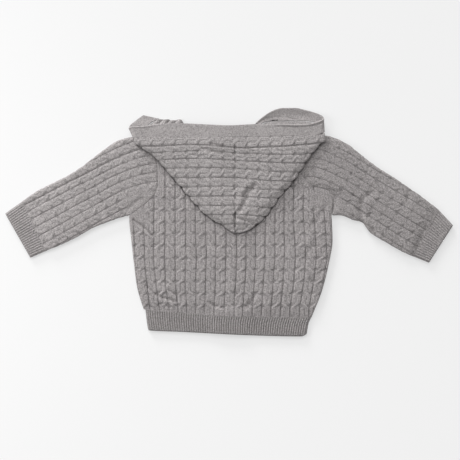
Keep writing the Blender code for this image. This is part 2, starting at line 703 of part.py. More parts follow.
def face_band(material):
    """The plain band round the hood's face edge, one strip that turns under at its left end
    and curls round at its right end."""
    rows = np.array(FACE_BAND)
    steps = np.linalg.norm(np.diff((rows[:, :3] + rows[:, 3:]) / 2, axis=0), axis=1)
    along = np.concatenate(([0.0], np.cumsum(steps))) / steps.sum()
    edges = [reader(list(zip(along, rows[:, k]))) for k in range(6)]
    stations = np.linspace(0, len(rows) - 1, BAND_STEPS * (len(rows) - 1) + 1)
    at = np.interp(stations, np.arange(len(rows)), along)
    free = np.stack([edge(at) for edge in edges[:3]], axis=-1)
    sewn = np.stack([edge(at) for edge in edges[3:]], axis=-1)
    middle = np.stack([mix(free, sewn, k) for k in np.linspace(0.0, 1.0, BAND_COLUMNS)], axis=1)
    curled = ease((at - along[CURL_ROW]) / CURL_EASE)
    hollow = np.sin(np.linspace(0.0, np.pi, BAND_COLUMNS))
    middle[:, :, 2] -= LOOP_SAG * curled[:, None] * hollow[None, :]
    lift = lift_over_placket(middle[:, :, 0], BODY_HEIGHT - WALL)
    middle[:, :, 2] += lift * (middle[:, :, 2] > UPPER_BAND)
    lengthwise = np.gradient(middle, axis=0)
    crosswise = np.gradient(middle, axis=1)
    normal = np.cross(crosswise, lengthwise)
    normal /= np.linalg.norm(normal, axis=-1, keepdims=True)
    return sheet("hood_band", middle + normal * RIB_WALL / 2, middle - normal * RIB_WALL / 2, material)


def main():
    clear_scene()
    cable = cloth("cable_knit", CABLE_GREY)
    rib = cloth("rib_knit", RIB_GREY)
    plain = cloth("plain_knit", BAND_GREY)
    plastic = cloth("button_plastic", BUTTON_GREY, roughness=0.45)
    body_back(cable)
    rib_back(rib)
    fronts(cable, rib)
    front_bands(plain)
    buttons(plastic)
    for side in (-1, 1):
        sleeve(side, cable, rib)
        hood_half(side, cable)
    face_band(plain)


main()
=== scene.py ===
"""Baby's hooded cable-knit cardigan, laid out face down, with its stitches, creases and finish.

The pieces repeat the solids' surfaces at a finer density, in the same frame, and carry the knit's
relief on the side that shows. Sizes are in millimetres, and the meshes are made in metres.
"""
import math

import bmesh
import bpy
import numpy as np
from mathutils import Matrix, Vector


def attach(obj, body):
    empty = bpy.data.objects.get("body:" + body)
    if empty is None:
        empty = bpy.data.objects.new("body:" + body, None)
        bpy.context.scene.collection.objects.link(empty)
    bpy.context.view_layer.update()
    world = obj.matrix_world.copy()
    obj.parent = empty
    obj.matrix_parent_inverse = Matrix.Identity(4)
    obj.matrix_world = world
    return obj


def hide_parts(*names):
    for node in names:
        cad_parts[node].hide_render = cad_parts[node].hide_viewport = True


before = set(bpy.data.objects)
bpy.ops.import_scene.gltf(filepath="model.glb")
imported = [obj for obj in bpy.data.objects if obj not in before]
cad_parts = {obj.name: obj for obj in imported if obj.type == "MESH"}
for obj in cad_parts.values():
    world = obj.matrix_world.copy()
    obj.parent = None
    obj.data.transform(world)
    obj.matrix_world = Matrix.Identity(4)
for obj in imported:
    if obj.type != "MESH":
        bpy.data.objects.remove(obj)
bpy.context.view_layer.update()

MM = 0.001
LEFT, RIGHT = -1, 1
SIDES = {LEFT: "left", RIGHT: "right"}
COLUMN = {LEFT: 1, RIGHT: 2}    # a side's column in the tables that hold both

# Camera and picture
PICTURE_WIDTH = 644.0   # width of the view at the height of the garment
VIEW_CENTRE = (1.4, -10.5)
VIEW_LEVEL = 8.0
CAMERA_HEIGHT = 2000.0
SENSOR = 36.0

# Floor and light. A light table: part of the floor's white is its own light.
FLOOR_HALF = 6.0        # in metres, like the drop and the soft box's place and size
FLOOR_DROP = 0.0002
SOFT_BOX_PLACE = (-0.95, 0.08, 0.70)
SOFT_BOX_SIZE = 0.5
SOFT_BOX_POWER = 5.0
FLOOR_ALBEDO = 0.34
FLOOR_GLOW = 0.512
WORLD_LIGHT = 0.435
SUNS = (                # name, strength, width, and how it is turned, in degrees
    ("key", 1.19, 34.0, (-38.0, -4.0, 0.0)),
    ("low", 2.40, 18.0, (-60.5, -54.0, 0.0)),
)

# Yarn: stitch depths, then scales and strengths of what is drawn in it
CABLE_STITCH, RIB_STITCH, PLAIN_STITCH = 0.55, 0.45, 0.40
PATCH_SCALE = 28.0      # noise scales are in bumps per metre or so
CREASE_SCALE = 70.0
BROAD_SCALE = 520.0
RAGGED_SCALE = 900.0
FINE_SCALE = 1700.0
FIBRE_SCALE = 3200.0
RAGGED = 0.30           # how far the vees wander, in stitches
VEE_SLANT = -1.3
FIBRE_HEIGHT = 0.55
CREASE_HEIGHT = -1.2
FLECK = 0.62            # how much darker and lighter the flecks are than the yarn
BUMP = 0.8

# Cloth, as in the solids
WALL = 2.4
RIB_WALL = 1.8
SEAM = 0.3
JOIN = 0.06             # gap between two sewn pieces here, closer than in the solids
HALF_JOIN = JOIN / 2
SLEEVE_GAP = 2.6
RIB_GAP = 1.8
ROLL = 3.6
BODY_HEIGHT = 2 * WALL + SLEEVE_GAP
RIB_HEIGHT = 2 * RIB_WALL + RIB_GAP
NEAR_RIB_HEIGHT = 5.8
EASE = 16.0
SIDE_ROLL = (2.0, 14.0) # height from which the sides' roll fades out, and over what distance

# Rows and columns of the meshes
STEP = 4                # how much coarser the inner grids are
BACK_ROWS, BACK_COLUMNS = 209, 337
BELOW_UNDERARM = 0.53   # share of the back's rows
FRONT_ROWS_BELOW, FRONT_ROWS_ABOVE, FRONT_COLUMNS = 98, 84, 113
SLEEVE_ROWS, SLEEVE_COLUMNS = 149, 117
RIB_ROWS = 13
BACK_RIB_COLUMNS, FRONT_RIB_COLUMNS, CUFF_COLUMNS = 421, 213, 141
FRONT_BAND_ROWS, FRONT_BAND_COLUMNS = 233, 21
HOOD_ROWS, HOOD_COLUMNS, HOOD_TURNS = 129, 113, 9
FACE_BAND_STEPS, FACE_BAND_COLUMNS = 24, 41
EDGE_STEPS = 6          # columns round each rolled edge

# Front opening
CENTRE_FRONT = 1.0
BAND_WIDTH = 19.0
BAND_LIFT = 2.0
BAND_LIFTS = (-157.0, 19.0)     # height from which the bands rise off the floor, and the run
LEFT_EDGE_LIFT = 1.2
PLACKET_TOP = BAND_LIFT + 2 * RIB_WALL + SEAM
PLACKET_SLOPE = 28.0

# Hood
CENTRE_BACK = 8.6
HOOD_GAP = 2.2
HOOD_BASE = BODY_HEIGHT + SEAM
HOOD_HEIGHT = 2 * WALL + HOOD_GAP
HOOD_FALL = (129.0, 16.0)   # height from which its lower layer falls to the floor, and the run
HOOD_SPACING = 1.1      # power that spaces its rows from the top to the tip
HOOD_PINCH = 0.12       # share of its length over which it thins to its tip
UNDER_STRETCH = 3       # power with which its lower layer's own edge fades from the top
TOP_GAP_EASE = 0.1      # shares of its length over which its top closes up to the band, and over
CORNER_EASE = 0.05      # which its bend does
CORNER_FILL = 3.4       # how far the hood's bend reaches up to the band where both turn under
LOOP_SAG = 1.4
CURL_ROW = 18           # row of the band's table where it starts back behind itself
CURL_EASE = 0.08
UPPER_BAND = 9.9        # the band's part above this level lies on the hood
HOOD_UPPER = (10.5, 2.5)    # level over which the cloth is the hood's upper layer, and the run
HOOD_UNDER_DEPTH = 0.8
HOOD_ENDS = (0.15, 0.2) # shares of its length over which the upper layer settles, top and tip
BORDER_EASE = 5.0       # distance over which its seam, scallops and ropes begin
UNDER_HOOD_SHIFT = 1.7  # how far past its fold, and over what distance, the hood shelters the cloth
UNDER_HOOD_EASE = 2.2
SCALLOP = 2.4           # how far the rows' ends stand out along the hood's folded edges
SCALLOP_EASE = 8.0      # distance from those edges, and the height, where they end
SCALLOP_TOP = 117.0
SCALLOP_MEAN = 0.65
FOLD_PRESS = 1.9        # how far the hood sinks towards its folded edges
PRESSED = (4.0, 10.0)   # distance from them to where that ends, and the run
CENTRE_GROOVE = 0.7     # half width of the groove along the hood's centre seam
CENTRE_TOP = 109.0
CENTRE_SHADE = 0.3
PEEP_FROM = 132.0       # height from which the hood's lower layer peeps out
TWIST_PITCH = 10.4      # twisted ropes on it
TWIST_SLANT = 0.9
TWIST_ROUND = 0.7
TWIST_CUT_AND_SHADE = 0.45
NO_TWIST = 0.6
INNER_RELIEF = 0.9      # relief of the lower layer's inside, and of its ropes
ROPE_RELIEF = 2.6

# Knit
CABLE_LENGTH = 16.7     # from one crossing to the next
BACK_CROSSING = -49.7   # height of the middle between two crossings on the back
HOOD_SHIFT = 1.3
SLEEVE_SLOPE = {LEFT: 27.7, RIGHT: 32.4}    # degrees
CROSS = 0.24            # half of a crossing, as a share of the cable's length
CROSS_RISE = 0.55       # how far the front strand of a crossing stands up, and the back one sinks
CROSS_DROP = 0.9
CROSS_NARROW = 0.13
ROPE_HALF = 0.465       # half of a cable's width, as a share of its column
ROPE_SHOULDER = 0.90    # where the cable starts to fall to its gutter, as a share of that half
GUTTER_WIDTH = 0.18
FAINT_GUTTER = 0.55     # how much shallower a gutter gets where it is faint
ROPE_BASE = 0.28        # height of a cable's side over its gutter, as a share of the relief
STRAND = 0.62           # half of a strand's width, as a share of the cable's half width
STRAND_ROUND = 0.6      # power that rounds a strand
DRIFT = (0.06, 2.7, 0.6)            # waves that make the cables uneven: of their turns,
STRONGER = (0.85, 0.2, 3.1, 1.7)    # of their crossings' height
FAINT = (13.0, 2.9, 31.0)           # and of their gutters' depth
CABLE_DEPTH = 1.6       # depth of the gutters under the solids' surface
SLEEVE_DEPTH = 1.0
HOOD_DEPTH = 1.3
RIB_DEPTH = 0.8
CUFF_DEPTH = 0.35
PLAIN_DEPTH = 0.3
CABLE_RISE = 1.0        # height of the knit over it, where nothing lies on it
SLEEVE_RISE = 0.9
RIB_RISE = 0.4
RIB_PITCH = 3.3
RIB_STEP = 0.4          # how much lower the rib lies than the body at their seam
RIB_ROUND = 0.8
CUFF_INSET = 0.004
CUFF_STITCHES = 24.0    # height of the cuff in millimetres, as its stitches count it
PLAIN_HEIGHT = 0.7
GUSSET_HEIGHT = 0.62    # plain gussets: their height, how far the gutters fade, and their edge
GUSSET_SPREAD = 0.6
GUSSET_EDGE = (0.75, 0.4)
CROWN = 1.8             # how far the cloth swells over the middle of a flattened tube
CROWN_END = 30.0        # distance from a tube's ends, and from the hem rib, where it is full
CROWN_FROM_RIB = 45.0
CROWN_BACK, CROWN_SIDE = 4.0, 2.5   # powers: the higher, the flatter the middle
LAY = 0.45              # height of the gentle waves in the back
LAY_SIDE = 6.0
STITCH_WIDTH = 1.77
STITCH_HEIGHT = 1.3
KNIT_STRENGTH, KNIT_UNEVEN = 0.92, 0.14     # the relief's strength and how much that varies
MEAN_HEIGHT = 0.6       # height of the knit, as a share of its relief, at a seam
SEAM_FADE = 3.6         # distance from a seam over which the relief grows to its full height
SEAM_GROOVE = 1.5       # half width of the groove pressed in along a seam
ARMHOLE_GROOVE = 1.15   # its depth at the armholes: in all, by the left underarm,
GUSSET_GROOVE = 0.4
ARMHOLE_LESS = 0.45     # and how much less it is over the right armhole's curve
GUSSET_SEAM = (18.0, 26.0)      # heights from which these change, and over what distance
CURVE_SEAM = (26.0, 18.0)
ABOVE_UNDERARM = 6.0
UPPER_EASE = 0.35       # share of a tube's height over which its underside turns into its top

# Face band
THIN_EDGE = 0.72        # thickness at its borders as a share, and how far in that reaches
THIN_WIDTH = 2.2
RIM_PLACE = 1.3         # middle of its rolled rim, in from its free edge
RIM_HALF = 1.0
RIM_RISE = 1.0
RIM_GROOVE_PLACE = 3.1  # groove behind the rim, as so many times its place
RIM_GROOVE = 0.8
RIM_FACING = 0.8        # how flat the band must lie for its rim to be full
RIM_EASE = 2.0
LOOP_EASE = 10.0
LOOP_RIM = (52.0, 30.0) # how far right of the middle the rim begins, and its run; and on the left
FLAP_RIM = (88.0, 22.0)
FLAP_RIM_RISE = 0.8
LOOP_FROM = 0.72        # share of the hood band's length where its loop has turned its inside up
HOLE_PLACE = 63.0       # buttonhole in the loop, a dent with painted shade in it
HOLE_HALF = 6.2
HOLE_ROW = 0.9
HOLE_DEPTH = 1.5
HOLE_DARK = 67.8        # where it opens most, and how far apart the stitches across it are
HOLE_STITCH = 5.6
HOLE_SHADE = 2.2
HOLE_PULL = 0.5
HOLE_OPEN, HOLE_CROSSED = 0.65, 0.35

# Creases: how they wander and the length of that wave, and the ridge beside each trough, as a
# share of its depth and half width
FOLD_WANDER, FOLD_WAVE = 0.7, 6.0
RIDGE, RIDGE_HALF = 0.22, 1.2

# Creases of the sleeves' undersides: how much further out they lie than the upper ones, their
# height as a share of the upper ones' depth, and the most they may have
UNDER_FOLD_SHIFT = 16.0
UNDER_FOLD_SHARE = 0.5
UNDER_FOLD_MOST = 0.9

# Sides of the body, with the armholes above the underarm: height, left edge, right edge
SHOULDER = 121.0
UNDERARM = 9.5
BODY_SIDES = (
    (-134, -117.6, 115.6), (-125, -119, 119.1), (-108.5, -124.2, 126), (-91.7, -128.8, 131.8),
    (-58.1, -133.4, 140), (-24.5, -137.2, 145.4), (9.5, -140.2, 144.4), (14, -134, 144.6),
    (23.1, -121.5, 145.6), (35.7, -106.6, 145), (45, -101.5, 139), (51, -100, 120),
    (57, -99.6, 109.4), (80.5, -100.8, 107.1), (121, -102.2, 109.2),
)

# Seam where the body meets its hem rib, and the hem: across, seam height, hem height
HEM = (
    (-120, -121.4, -150.4), (-110, -122.8, -151.5), (-68.6, -126.6, -153.3),
    (-12.6, -130.4, -156.1), (43.4, -132.2, -158.6), (99, -133.4, -159.7), (118, -133, -157),
)

# Sides of the hem rib: down from the seam as a share of its height, left edge, right edge
RIB_SIDES = (
    (0, -117.2, 115.4), (0.35, -116.3, 111.7), (0.75, -114.7, 109.7), (0.94, -113.6, 108.2),
    (1, -112.8, 104.4),
)

# Tops of the back and fronts, from shoulder to neck: across, back, front
NECKLINE = (
    (-102.5, 121, 121), (-75, 124, 123.5), (-50, 125.5, 124), (-32, 121, 112), (-9, 119, 97),
    (1, 119, 95), (11, 119, 97), (34, 121, 112), (52, 125.5, 124), (80, 124, 123.5),
    (109.5, 121, 121),
)

# Upper and lower edge of each sleeve, on from the shoulder and the underarm to the cuff's seam
SLEEVE_TOP = {LEFT: (
    (-120, 121.4), (-138.8, 120), (-157, 114.5), (-179.4, 99.1), (-201.8, 82.3), (-224.2, 67),
    (-246.6, 55.9), (-269, 44.5), (-290.6, 29.6),
), RIGHT: (
    (125, 121.9), (141.6, 121.4), (164.2, 111.8), (186.8, 93.8), (209.2, 77.1), (231.6, 63.1),
    (254, 47.8), (276.4, 32.5), (294.6, 17.9),
)}
SLEEVE_BOTTOM = {LEFT: (
    (-156.8, 5.4), (-168, 1.1), (-190.4, -7.6), (-212.8, -20.4), (-235.2, -31.4), (-257.2, -40.6),
), RIGHT: (
    (158, 9.4), (175, 3), (186.2, -0.1), (197.6, -14), (219.8, -28), (242.2, -40.7), (257.6, -47.8),
)}

# Cuffs: the two ends of the wrist edge
WRIST = {LEFT: ((-314, 12.8), (-278.4, -49.6)), RIGHT: ((314.4, -3.6), (280.2, -56.6))}

# Folded side of each half of the hood: height on the centre seam, then the fold's place
HOOD_FOLD = {LEFT: (
    (119.4, -133, 118.8), (112, -131.6, 111.6), (104, -121.6, 103), (96, -109, 95),
    (90, -103.8, 89.6), (84, -98, 83.8), (70, -86.8, 71), (54, -72.4, 55), (38, -58.4, 39),
    (23, -45.4, 24), (10, -33, 11.6), (0, -20.4, 3.2), (-8, -8, -4.2), (-14.8, 1.4, -10.8),
), RIGHT: (
    (119.4, 133.2, 122.8), (115.6, 135.2, 116.4), (111.6, 133.4, 111.2), (108.4, 127.6, 107.6),
    (104, 123.8, 103.4), (96, 117.2, 95.6), (84, 109, 83.8), (70, 99.2, 70), (54, 87.4, 54.2),
    (38, 72.8, 38), (23, 62.6, 23.2), (10, 53, 10.6), (0, 43.6, 1.2), (-8, 33, -6.8),
    (-14.8, 19, -13.6),
)}

# Top of the hood's lower layer, which peeps out above the band: across, height
UNDER_EDGE = {LEFT: (
    (-133, 118.8), (-126, 124.4), (-118, 130.2), (-108, 139.2), (-98, 144.6), (-89.6, 144.4),
    (-85.4, 144.7), (-81, 143.2), (-76, 143.2), (-69.7, 145), (-66, 143), (-63, 137.6), (-55, 128),
    (-30, 123), (8.6, 121),
), RIGHT: (
    (133.2, 122.8), (130.6, 123.2), (129, 126.4), (126.2, 132.8), (120, 138.6), (112, 141),
    (98, 141.8), (76, 141.8), (60, 141.2), (48, 138.4), (38, 131), (24, 124), (8.6, 121),
)}

# The face band, from where it turns under on the left to its curled end on the right.
# Free edge (across, height, level) and sewn edge (across, height, level), row by row.
FACE_BAND = (
    (-120.4, 150.6, 1.4, -98, 145.6, 1.5), (-126.4, 146.2, 2.7, -109, 140.4, 4.2),
    (-132.8, 140.8, 6.2, -119, 131.2, 8.2), (-138.4, 136, 8.9, -129.6, 122.4, 9.2),
    (-139.8, 132.4, 11.3, -133.8, 119.2, 11.3), (-137.4, 133.8, 13.4, -131.2, 119.1, 13.5),
    (-118, 134.8, 13.8, -118, 119.2, 13.5), (-106, 136.8, 13.8, -104, 119.2, 13.5),
    (-90, 138, 13.8, -90, 119.3, 13.5), (-66, 138.4, 13.8, -66, 119.4, 13.5),
    (-30, 136.8, 13.8, -30, 119.6, 13.5), (1, 135.6, 13.8, 1, 119.8, 13.5),
    (36, 137.4, 13.8, 36, 120.6, 13.5), (70, 137.6, 13.8, 68, 121.4, 13.5),
    (94, 136.9, 14, 94, 122.1, 13.5), (112, 137.9, 13.8, 113, 122.6, 13.5),
    (123, 141.1, 12.8, 124.8, 123.3, 13.2), (129.6, 143.8, 10.8, 130.6, 125.4, 11.9),
    (132, 146.4, 8.2, 133, 127.2, 8.8), (129.8, 149.8, 6.2, 132, 131.6, 6.4),
    (119.6, 154.2, 5, 125.2, 138.2, 4.4), (107, 157.6, 4.3, 112.4, 142.2, 3),
    (92, 160.6, 3.9, 96, 142.6, 2.6), (76, 160.6, 3.8, 78, 142.6, 2.6),
    (61, 156.6, 4, 64, 142.2, 2.8), (49.4, 149.4, 5, 54, 141.4, 3.6),
    (41.4, 142.8, 7.2, 48, 140.2, 6.2), (37, 138.4, 9.6, 43, 136.2, 9.4),
)

# Gutters between the cables of the back: number, place across at these levels, rib first
GUTTER_LEVELS = (-122.5, -82.5, -48.3, 16)
BACK_GUTTERS = (
    (-10, -123, -129, -131.6, -133.4), (-9, -110.2, -115.6, -117.8, -119.4),
    (-8, -97, -102.4, -105.1, -105.4), (-7, -83.9, -88.8, -89.4, -89.2),
    (-6, -71, -74.7, -75.2, -74.8), (-5, -58.9, -61, -59.8, -60.8), (-4, -46.4, -46.2, -45.2, -47),
    (-3, -34, -32.6, -31.4, -32.8), (-2, -20.6, -18.4, -18, -20), (-1, -6.5, -4.6, -3.8, -4.5),
    (0, 7.8, 9.5, 11.1, 10), (1, 19.7, 22.8, 24.3, 24.2), (2, 32.7, 36.1, 38.1, 37.2),
    (3, 45.4, 48.6, 50.9, 51), (4, 58.9, 62.7, 64.4, 64.5), (5, 72.4, 76.3, 78.1, 77.4),
    (6, 85.8, 91, 93.7, 90.4), (7, 99.4, 104.7, 108.2, 104.2), (8, 112.1, 119.1, 123.4, 118.6),
    (9, 125, 132.3, 137.9, 133.6), (10, 138, 146, 152, 148),
)

# Gutters of the hood: number, then heights at these places from its left fold to its right fold
HOOD_PLACES = (-130, -96.6, -61.6, -27, 8.6, 22.4, 57.4, 78.4, 104, 132)
HOOD_GUTTERS = (
    (-2, 147.5, 147.5, 148, 148, 147, 147, 147, 147, 147, 147),
    (-1, 136, 135, 135.5, 135.5, 135, 135, 135.5, 135.5, 136, 138),
    (0, 122.5, 123, 124, 123.8, 122.5, 122.5, 123.5, 124.5, 125.5, 127),
    (1, 107, 107.3, 109.8, 108.6, 105.2, 104.7, 106.7, 107.2, 109.2, 112.5),
    (2, 97.5, 98.6, 100.7, 101, 98.4, 97.3, 96.4, 95.5, 96.4, 99),
    (3, 86.6, 88.3, 90.4, 89.8, 87.8, 87, 84.7, 84.3, 84.3, 85),
    (4, 74.6, 75.5, 77.1, 77.3, 77, 75.4, 72.2, 71.7, 71.5, 71.5),
    (5, 62, 62.5, 63.7, 63.8, 63.6, 62.6, 59.2, 58.6, 58.1, 58),
    (6, 49.8, 50, 50.4, 51.2, 50.9, 49.8, 46.6, 46, 45.5, 45),
    (7, 37, 37, 36.9, 37.8, 38.1, 37.4, 35, 34, 33, 33),
    (8, 24, 24, 23.8, 24.6, 25.2, 24.4, 21.3, 20.6, 20, 20),
    (9, 11, 11, 10.9, 11.8, 12, 11.4, 8.8, 8.4, 8, 8),
    (10, -2, -2, -2, -1.7, -1.2, -1.6, -3, -3.5, -4, -4),
    (11, -15.5, -15.5, -15.1, -14.6, -14, -14.3, -15, -15.5, -16, -16),
)

# One gutter along each sleeve: across, height
SLEEVE_GUTTER = {LEFT: (
    (-300, -5.5), (-284.2, 2.8), (-236.6, 28), (-194.6, 49.7), (-166.6, 64.4), (-145.6, 74.2),
    (-124.6, 81.2), (-100.8, 85.4), (-90, 86.6),
), RIGHT: (
    (90, 80), (107.8, 79.4), (120.4, 78.7), (134.4, 74.9), (148.4, 68.2), (169.4, 57.4),
    (197.4, 39.2), (225.4, 21.7), (273, -7), (300, -24),
)}

# Gutters round the sleeves: number, distance down from the line above near the shoulder and
# near the cuff
SLEEVE_PLACES = (147, 252)
SLEEVE_GUTTERS = {LEFT: (
    (2, -75, -79), (3, -61.5, -65), (4, -48, -50), (5, -35, -35.6), (6, -21.1, -22.4),
    (7, -9.2, -11.2), (8, 2.8, 2.8), (9, 14.7, 16.8), (10, 28, 31.3), (11, 41.3, 45.3),
    (12, 54.6, 59), (13, 68, 73), (14, 82, 87),
), RIGHT: (
    (2, -79, -83), (3, -65, -69), (4, -51, -55), (5, -37.5, -41), (6, -24.9, -27.3),
    (7, -11.6, -12.8), (8, 1.7, 2.1), (9, 15.7, 17.1), (10, 30.4, 32.5), (11, 45.1, 47),
    (12, 59.5, 61.5), (13, 74, 76), (14, 88, 90),
)}

# Depth of the hood's centre seam: height, depth
CENTRE_SEAM = (
    (2, 1.7), (13, 1.4), (20, 0.4), (60, 0.35), (92, 0.5), (98, 1.1), (108, 1.2),
)

# Gutters pressed deeper than the others: column, half width in columns, depth
HOOD_DEEP = ((0, 0.11, 0.9),)
SLEEVE_DEEP = {LEFT: ((6, 0.16, 0.9),), RIGHT: ()}

# Plain gussets by the underarms: middle across and up, half width, half height
BODY_PLAIN = (
    (129, 33, 17, 17), (-126, 7, 15, 15), (-97, 56, 6, 26), (104.5, 60, 3, 22),
)
SLEEVE_PLAIN = {LEFT: ((-119, 28, 29, 19),), RIGHT: ((150, 20, 15, 14),)}

# Creases: start across and height, end across and height, half width, depth. Those of the
# fronts, which lie underneath, rise off the floor.
BACK_FOLDS = (
    (-134, 5, -106.5, -18.6, 1.7, 2.8), (-117.6, -88, -102, -101, 2, 2.6),
    (-104, -101, -92, -104, 2, 2.2), (-94, -105.5, -74, -110.9, 2, 2.8),
    (-86, -94.5, -73.6, -102.5, 2, 2.6), (-73.6, -102.5, -72, -112, 1.8, 1.8),
    (8.4, -94.5, 26, -118, 3.4, 2), (42, -98, 22, -121, 3.2, 1.8), (-30, -113, -8, -119, 2.4, 1.6),
    (126, -20, 104, -52, 4, 1), (132, -64, 112, -86, 4, 1.1), (138, 26, 118, -4, 4, 0.9),
    (-40, -20, -12, -36, 5, 0.7), (60, -12, 86, -34, 5, 0.7),
)
FRONT_FOLDS = (
    (-84, -40, -60, -58, 4, 1), (-62, 30, -42, 8, 3.8, 0.9), (-104, -56, -84, -66, 4.2, 0.8),
    (52, -70, 76, -82, 3.8, 1), (92, 30, 72, 12, 4, 0.9), (58, 66, 84, 54, 3.6, 0.8),
)
SLEEVE_FOLDS = {LEFT: (
    (-146, 16, -122, 34, 3.4, 1.2), (-204, 34, -176, 12, 4.6, 0.9), (-246, 44, -228, 24, 4, 0.8),
    (-262, 10, -236, -12, 4.2, 0.8), (-150, 108, -134, 84, 4, 0.8), (-276, 22, -250, 34, 3.4, 1),
), RIGHT: (
    (188, -8, 184, 30, 4.2, 2.1), (184, 30, 204, 46, 3.8, 1.5), (176, 20, 196, 6, 3.2, 1.5),
    (206, -20, 196, 14, 4, 1.5), (150, 44, 146, 16, 4, 1.5), (204, 80, 222, 52, 3.6, 1),
    (252, 44, 246, 18, 3.8, 0.8), (262, -38, 276, -8, 3.4, 0.8),
)}
HOOD_FOLDS = (
    (-27, 112, -8, 104.5, 2, 2.2), (-24, 99.5, -12, 94, 1.8, 1.8), (-40, 104, -22, 101, 1.8, 1.4),
    (-52, 96, -36, 91, 1.8, 1.2), (38, 54, 20, 35, 3.6, 3.4), (25.5, 36.5, 15, 14.5, 3.4, 3.2),
    (11.2, 7.5, 35, -3, 2.2, 2.4), (50, 22, 38, 12, 2.6, 1.6), (7.7, 13.3, 7.7, 1.1, 1.7, 1.5),
    (60, 104, 84, 97, 2.6, 0.7), (-92, 104, -64, 99, 2.6, 0.7),
)
LOOP_FOLDS = (
    (80, 148.5, 95, 143.6, 1.6, 0.6), (57, 146, 76, 148, 1.8, 0.5),
)


def reader(table, column=1):
    """A smooth curve through one column of a table, read at a value of its first column."""
    rows = np.array(sorted(table), dtype=float)
    knots = rows[:, 0]
    values = rows[:, column]
    chords = np.diff(values) / np.diff(knots)
    slopes = np.zeros(len(knots))
    slopes[0], slopes[-1] = chords[0], chords[-1]
    flat = chords[:-1] * chords[1:] <= 0.0
    slopes[1:-1] = np.where(flat, 0.0, (chords[:-1] + chords[1:]) / 2)

    def read(at):
        at = np.clip(at, knots[0], knots[-1])
        k = np.clip(np.searchsorted(knots, at) - 1, 0, len(knots) - 2)
        span = knots[k + 1] - knots[k]
        f = (at - knots[k]) / span
        start = values[k] * (1 + 2 * f) * (1 - f) ** 2 + slopes[k] * span * f * (1 - f) ** 2
        end = values[k + 1] * f ** 2 * (3 - 2 * f) - slopes[k + 1] * span * f ** 2 * (1 - f)
        return start + end

    return read


def path(points):
    """A smooth curve through points, read at 0 to 1 of its length."""
    points = np.array(points, dtype=float)
    steps = np.linalg.norm(np.diff(points, axis=0), axis=1)
    along = np.concatenate(([0.0], np.cumsum(steps))) / steps.sum()
    axes = [reader(list(zip(along, points[:, k]))) for k in range(points.shape[1])]
    return lambda at: np.stack([axis(at) for axis in axes], axis=-1)


def ease(value):
    """A smooth step from 0 to 1."""
    value = np.clip(value, 0.0, 1.0)
    return value * value * (3 - 2 * value)


def ramp(value, start, run):
    """0 up to this start, easing to 1 over this run."""
    return ease((value - start) / run)


def evenly(count):
    """So many evenly spaced places from 0 to 1."""
    return np.linspace(0.0, 1.0, count)


def mix(start, end, share):
    return start + (end - start) * share


def bell(away, half):
    """1 on a line, falling away beside it."""
    return np.exp(-(away / half) ** 2)


def wobble(x, y, size, phase):
    """A gentle uneven wave over the cloth, about -1 to 1, with bumps of this size."""
    x, y = x / size, y / size
    return (np.sin(1.9 * x + 1.1 * y + phase) + np.sin(-1.3 * x + 2.3 * y + 2.1 * phase)
            + np.sin(3.1 * x - 0.7 * y + 3.7 * phase) * 0.6) / 2.6


# --- Knit: how far each place is under the cables' tops, and where it lies among the stitches ---

def column_of(value, lines, first):
    """Which column a place is in and its share across it. lines are the gutters, rising."""
    below = np.clip((lines <= value).sum(axis=0) - 1, 0, len(lines) - 2)[None]
    low = np.take_along_axis(lines, below, axis=0)[0]
    high = np.take_along_axis(lines, below + 1, axis=0)[0]
    return first + below[0] + (value - low) / (high - low)


def gutters_at(table, places, at):
    """Where each gutter of a table lies at these places."""
    return np.array([np.interp(at, places, row[1:]) for row in table])


def cables(column, along):
    """Rope cables: how high each place stands, 0 to 1, and its place among the stitches."""
    number = np.floor(column)
    lean = np.where(number % 2 == 0, 1.0, -1.0)
    a = lean * (column - number - 0.5) / ROPE_HALF
    turns = along / CABLE_LENGTH + DRIFT[0] * np.sin(DRIFT[1] * number + DRIFT[2])
    p = turns - np.floor(turns)
    share = ease((p - 0.5 + CROSS) / (2 * CROSS))
    crossing = 1.0 - ease(np.abs(p - 0.5) / CROSS)
    mean, swing, by_turn, by_number = STRONGER
    strong = crossing * (mean + swing * np.sin(by_turn * np.floor(turns) + by_number * number))
    front, back = share - 0.5, 0.5 - share
    half = STRAND - CROSS_NARROW * crossing
    high, low = [np.clip(1.0 - (np.abs(a - strand) / half) ** 3, 0.0, 1.0) ** STRAND_ROUND
                 * (1.0 + rise * strong)
                 for strand, rise in ((front, CROSS_RISE), (back, -CROSS_DROP))]
    near = np.round(column)
    faint = 0.5 - 0.5 * np.sin(along / FAINT[0] + FAINT[1] * near) * np.sin(along / FAINT[2] + near)
    rope = 1.0 - ramp(np.abs(a), ROPE_SHOULDER, GUTTER_WIDTH) * (1.0 - FAINT_GUTTER * faint)
    height = (ROPE_BASE + (1.0 - ROPE_BASE) * np.maximum(high, low) / (1.0 + CROSS_RISE)) * rope
    strand = np.where(high >= low, a - front, a - back)
    return height, strand * 1.5 + 0.5, along / STITCH_HEIGHT, column


def with_plain(knit, x, y, areas):
    """The same knit, but plain in these areas, the gussets by the underarms."""
    height, across_stitches, rows_up, column = knit
    flat = np.zeros_like(x)
    for centre_x, centre_y, half_x, half_y in areas:
        away = np.hypot((x - centre_x) / half_x, (y - centre_y) / half_y)
        flat = np.maximum(flat, 1.0 - ramp(away, *GUSSET_EDGE))
    middle = np.floor(column) + 0.5
    column = middle + (column - np.floor(column) - 0.5) * (1.0 - GUSSET_SPREAD * flat)
    return mix(height, GUSSET_HEIGHT, flat), across_stitches, rows_up, column


